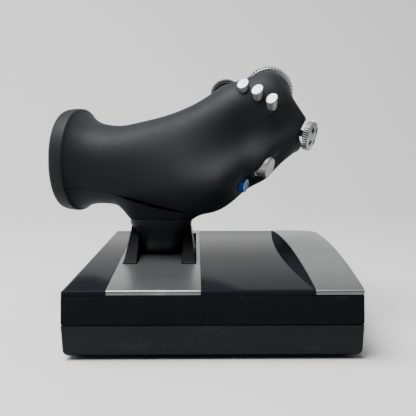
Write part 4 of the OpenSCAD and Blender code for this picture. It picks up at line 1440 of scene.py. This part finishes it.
def dial_wheel():
    """Thumb dial: ribbed rim, stepped face, hub on a slim shaft."""
    controls = sizes()[2]
    r = DIAL_R
    profile = [
        (0, -0.9), (r * 0.28, -0.9), (r * 0.32, -0.5), (r * 0.4, -0.45), (r * 0.66, -0.3), (r * 0.82, 0.0),
        (r * 0.89, -0.05), (r * 0.925, -0.5), (r * 0.925, -4.2), (r * 0.90, -4.5), (7.2, -4.55), (7.0, -4.1),
        (7.0, -1.9), (1.6, -1.9), (1.5, -2.4), (1.5, -12.9), (0, -13)]
    body = turned("dial_body", profile, 96)
    rim = ribs("dial_ribs", r * 0.925, controls.dial_ribs, 0.86, r * 0.072, -4.4, -0.4)
    return crease_by_angle(place(join("dial_wheel_skin", [body, rim]), seat(*DIAL)), 35)


def painted_groove_shade(name, control, radius, start, end):
    """Dark band put under the ribs of a control's rim: painted shade in the grooves between them."""
    inner, outer = radius - 0.3, radius + 0.02
    profile = [(inner, start), (outer, start), (outer, end), (inner, end), (inner, start)]
    return crease_by_angle(place(turned(name, profile, 80), seat(*control)), 40)


# ---------------------------------------------------------------- stage

def backdrop():
    """Pale floor that sweeps up behind into a pale wall."""
    front, bend, radius, top, half_width = -900, 450, 350, 420, 2200
    path = [(front, 0), (bend, 0)]
    for k in range(1, 13):
        a = math.pi / 2 * k / 12
        path.append((bend + radius * math.sin(a), radius * (1 - math.cos(a))))
    path.append((bend + radius, top))
    rings = [[Vector((x, y, z)) for x in (-half_width, half_width)] for y, z in path]
    return loft("backdrop", rings, closed=False, capped=False)


def stage_paper():
    """Pale paper of the floor and wall."""
    f = Finish("Pale paper")
    tone = f.n.noise(f.where, 3.0)
    f.set(Base_Color=f.n.mix(tone, (0.50, 0.50, 0.495), (0.53, 0.53, 0.525)), Roughness=0.9)
    f.bump(f.n.noise(f.where, 900.0), 0.04, 0.0002)
    return f.material


def area_light(name, place_at, look_at, size, power):
    """Rectangular softbox at one point that faces another."""
    data = bpy.data.lights.new(name, "AREA")
    data.shape = "RECTANGLE"
    data.size, data.size_y = size
    data.energy = power
    lamp = bpy.data.objects.new(name, data)
    bpy.context.scene.collection.objects.link(lamp)
    lamp.location = place_at
    lamp.rotation_euler = (Vector(look_at) - Vector(place_at)).to_track_quat("-Z", "Y").to_euler()
    return lamp


# ---------------------------------------------------------------- operators

class ThrottleStage(bpy.types.Operator):
    """Backdrop, soft lights, world and camera"""

    bl_idname = "throttle.stage"
    bl_label = "Stage"

    def execute(self, context):
        floor = backdrop()
        floor.data.materials.append(stage_paper())
        world = context.scene.world or bpy.data.worlds.new("Studio")
        context.scene.world = world
        world.use_nodes = True
        background = world.node_tree.nodes["Background"]
        background.inputs["Color"].default_value = (0.88, 0.94, 1.0, 1)
        background.inputs["Strength"].default_value = 0.13
        target = (-0.01, 0, 0.07)
        area_light("Overhead softbox", (-0.30, -0.20, 1.0), target, (0.9, 0.7), 38.0)
        area_light("Left softbox", (-1.1, 0.3, 0.7), target, (0.6, 0.8), 6.0)
        area_light("Right softbox", (1.1, 0.2, 0.7), target, (0.5, 0.8), 1.5)
        area_light("Rear softbox", (0.1, 0.72, 0.85), target, (0.9, 0.3), 1.6)
        data = bpy.data.cameras.new("Camera")
        data.lens = 72.0
        data.sensor_width = 36.0
        camera = bpy.data.objects.new("Camera", data)
        context.scene.collection.objects.link(camera)
        camera.location = (-0.008, -0.4973, 0.1272)
        camera.rotation_euler = (math.radians(90 - 7.22), 0, math.radians(-0.80))
        context.scene.camera = camera
        return {"FINISHED"}


class ThrottleCarriedOver(bpy.types.Operator):
    """Finishes of the CAD pieces that keep their own shape"""

    bl_idname = "throttle.carried_over"
    bl_label = "Inner pieces"

    def execute(self, context):
        slots = {part["node"]: part["material_slot"] for part in frame["record"]["subparts"]}
        for name, obj in frame["nodes"].items():
            finish = finish_of(slots[name])
            if not obj.material_slots:
                obj.data.materials.append(finish)
            for material_slot in obj.material_slots:
                material_slot.material = finish
        return {"FINISHED"}


class ThrottleBase(bpy.types.Operator):
    """Upper and lower shells of the base with the sweep beside the right strip"""

    bl_idname = "throttle.base"
    bl_label = "Base shells"

    def execute(self, context):
        finish_piece(upper_shell(), "base", "black_gloss", finish_of("black_gloss"), "base_upper_shell")
        # the sweep is the deck's plastic in a darker copy: painted shade
        finish_piece(side_crown(), "base", "black_gloss", finish_of("black_sweep_shaded"))
        finish_piece(lower_shell(), "base", "black_satin", finish_of("black_satin"), "base_lower_shell")
        return {"FINISHED"}


class ThrottleStrips(bpy.types.Operator):
    """Silver lever strip and arched side strip"""

    bl_idname = "throttle.strips"
    bl_label = "Silver strips"

    def execute(self, context):
        finish_piece(lever_strip_skin(), "base", "silver_paint", finish_of("silver_paint"), "lever_strip")
        side = swept_strip(
            "side_strip_skin", strip_left, lambda y: strip_right(y, 0.5), arch, -HALF_D + 1.7)
        finish_piece(side, "base", "silver_paint", finish_of("silver_paint"), "side_strip")
        return {"FINISHED"}


class ThrottleFeet(bpy.types.Operator):
    """Rubber feet"""

    bl_idname = "throttle.feet"
    bl_label = "Feet"

    def execute(self, context):
        finish_piece(rubber_feet_skin(), "base", "rubber", finish_of("rubber"), "rubber_feet")
        return {"FINISHED"}


class ThrottleColumn(bpy.types.Operator):
    """Column with its two fins"""

    bl_idname = "throttle.column"
    bl_label = "Column"

    def execute(self, context):
        finish_piece(column_skin(), "lever", "black_column", finish_of("black_column"), "lever_column")
        return {"FINISHED"}


class ThrottleGrip(bpy.types.Operator):
    """Top and bottom shells of the grip and the sleeves of its buttons"""

    bl_idname = "throttle.grip"
    bl_label = "Grip"

    def execute(self, context):
        coat = finish_of("grip_soft_touch")
        finish_piece(top_shell(), "lever", "grip_soft_touch", coat, "grip_top_shell")
        finish_piece(bottom_shell(), "lever", "grip_soft_touch", coat, "grip_lower_shell")
        finish_piece(button_sleeves(), "lever", "grip_soft_touch", coat)
        return {"FINISHED"}


class ThrottleButtons(bpy.types.Operator):
    """Push buttons"""

    bl_idname = "throttle.buttons"
    bl_label = "Buttons"

    def execute(self, context):
        bright = finish_of("bright_silver")
        for name in ("small_button_left", "small_button_middle", "small_button_right"):
            finish_piece(small_button(name), name + "_body", "bright_silver", bright, name)
        finish_piece(silver_button(), "silver_button_body", "bright_silver", bright, "silver_button")
        finish_piece(index_button(), "index_button_body", "bright_silver", bright, "index_button")
        # dark ring riding on the button: painted shade under its cap
        finish_piece(index_shade_ring(), "index_button_body", "chip_black", finish_of("dark_inlay_and_shade"))
        finish_piece(
            blue_button(), "blue_button_body", "blue_translucent", finish_of("blue_translucent"),
            "blue_button")
        return {"FINISHED"}


class ThrottleHat(bpy.types.Operator):
    """Hat switch cap and its marks"""

    bl_idname = "throttle.hat"
    bl_label = "Hat switch"

    def execute(self, context):
        finish_piece(hat_cap(), "hat", "bright_silver", finish_of("bright_silver"), "hat_cap")
        finish_piece(hat_marks(), "hat", "chip_black", finish_of("dark_inlay_and_shade"))
        # dark band under the hat's ribs: painted shade in the grooves
        band = painted_groove_shade("hat_groove_shade", HAT, HAT_R * 0.90, -1.3, -4.3)
        finish_piece(band, "hat", "chip_black", finish_of("dark_inlay_and_shade"))
        return {"FINISHED"}


class ThrottleDial(bpy.types.Operator):
    """Thumb dial"""

    bl_idname = "throttle.dial"
    bl_label = "Thumb dial"

    def execute(self, context):
        finish_piece(dial_wheel(), "dial", "bright_silver", finish_of("bright_silver"), "dial_wheel")
        # dark band under the dial's ribs: painted shade in the grooves
        band = painted_groove_shade("dial_groove_shade", DIAL, DIAL_R * 0.925, -0.55, -4.15)
        finish_piece(band, "dial", "chip_black", finish_of("dark_inlay_and_shade"))
        return {"FINISHED"}


OPERATORS = (
    ThrottleStage, ThrottleCarriedOver, ThrottleBase, ThrottleStrips, ThrottleFeet, ThrottleColumn,
    ThrottleGrip,
    ThrottleButtons, ThrottleHat, ThrottleDial,
)


class ThrottlePanel(bpy.types.Panel):
    """Sizes, colours and building steps of the throttle unit"""

    bl_idname = "VIEW3D_PT_throttle"
    bl_label = "Flight throttle unit"
    bl_space_type = "VIEW_3D"
    bl_region_type = "UI"
    bl_category = "Throttle"

    def draw(self, context):
        for group in sizes():
            box = self.layout.box()
            for key in group.__annotations__:
                box.prop(group, key)
        for operator in OPERATORS:
            self.layout.operator(operator.bl_idname)


GROUPS = {
    "throttle_base": ThrottleBaseSizes, "throttle_grip": ThrottleGripSizes,
    "throttle_controls": ThrottleControlSizes, "throttle_finishes": ThrottleFinishes,
}


def register():
    for cls in (*GROUPS.values(), *OPERATORS, ThrottlePanel):
        bpy.utils.register_class(cls)
    for name, group in GROUPS.items():
        setattr(bpy.types.Scene, name, PointerProperty(type=group))


def unregister():
    for name in GROUPS:
        delattr(bpy.types.Scene, name)
    for cls in reversed((*GROUPS.values(), *OPERATORS, ThrottlePanel)):
        bpy.utils.unregister_class(cls)


def main():
    """Builds everything in order."""
    register()
    for operator in OPERATORS:
        category, name = operator.bl_idname.split(".")
        getattr(getattr(bpy.ops, category), name)()


if __name__ == "__main__":
    main()
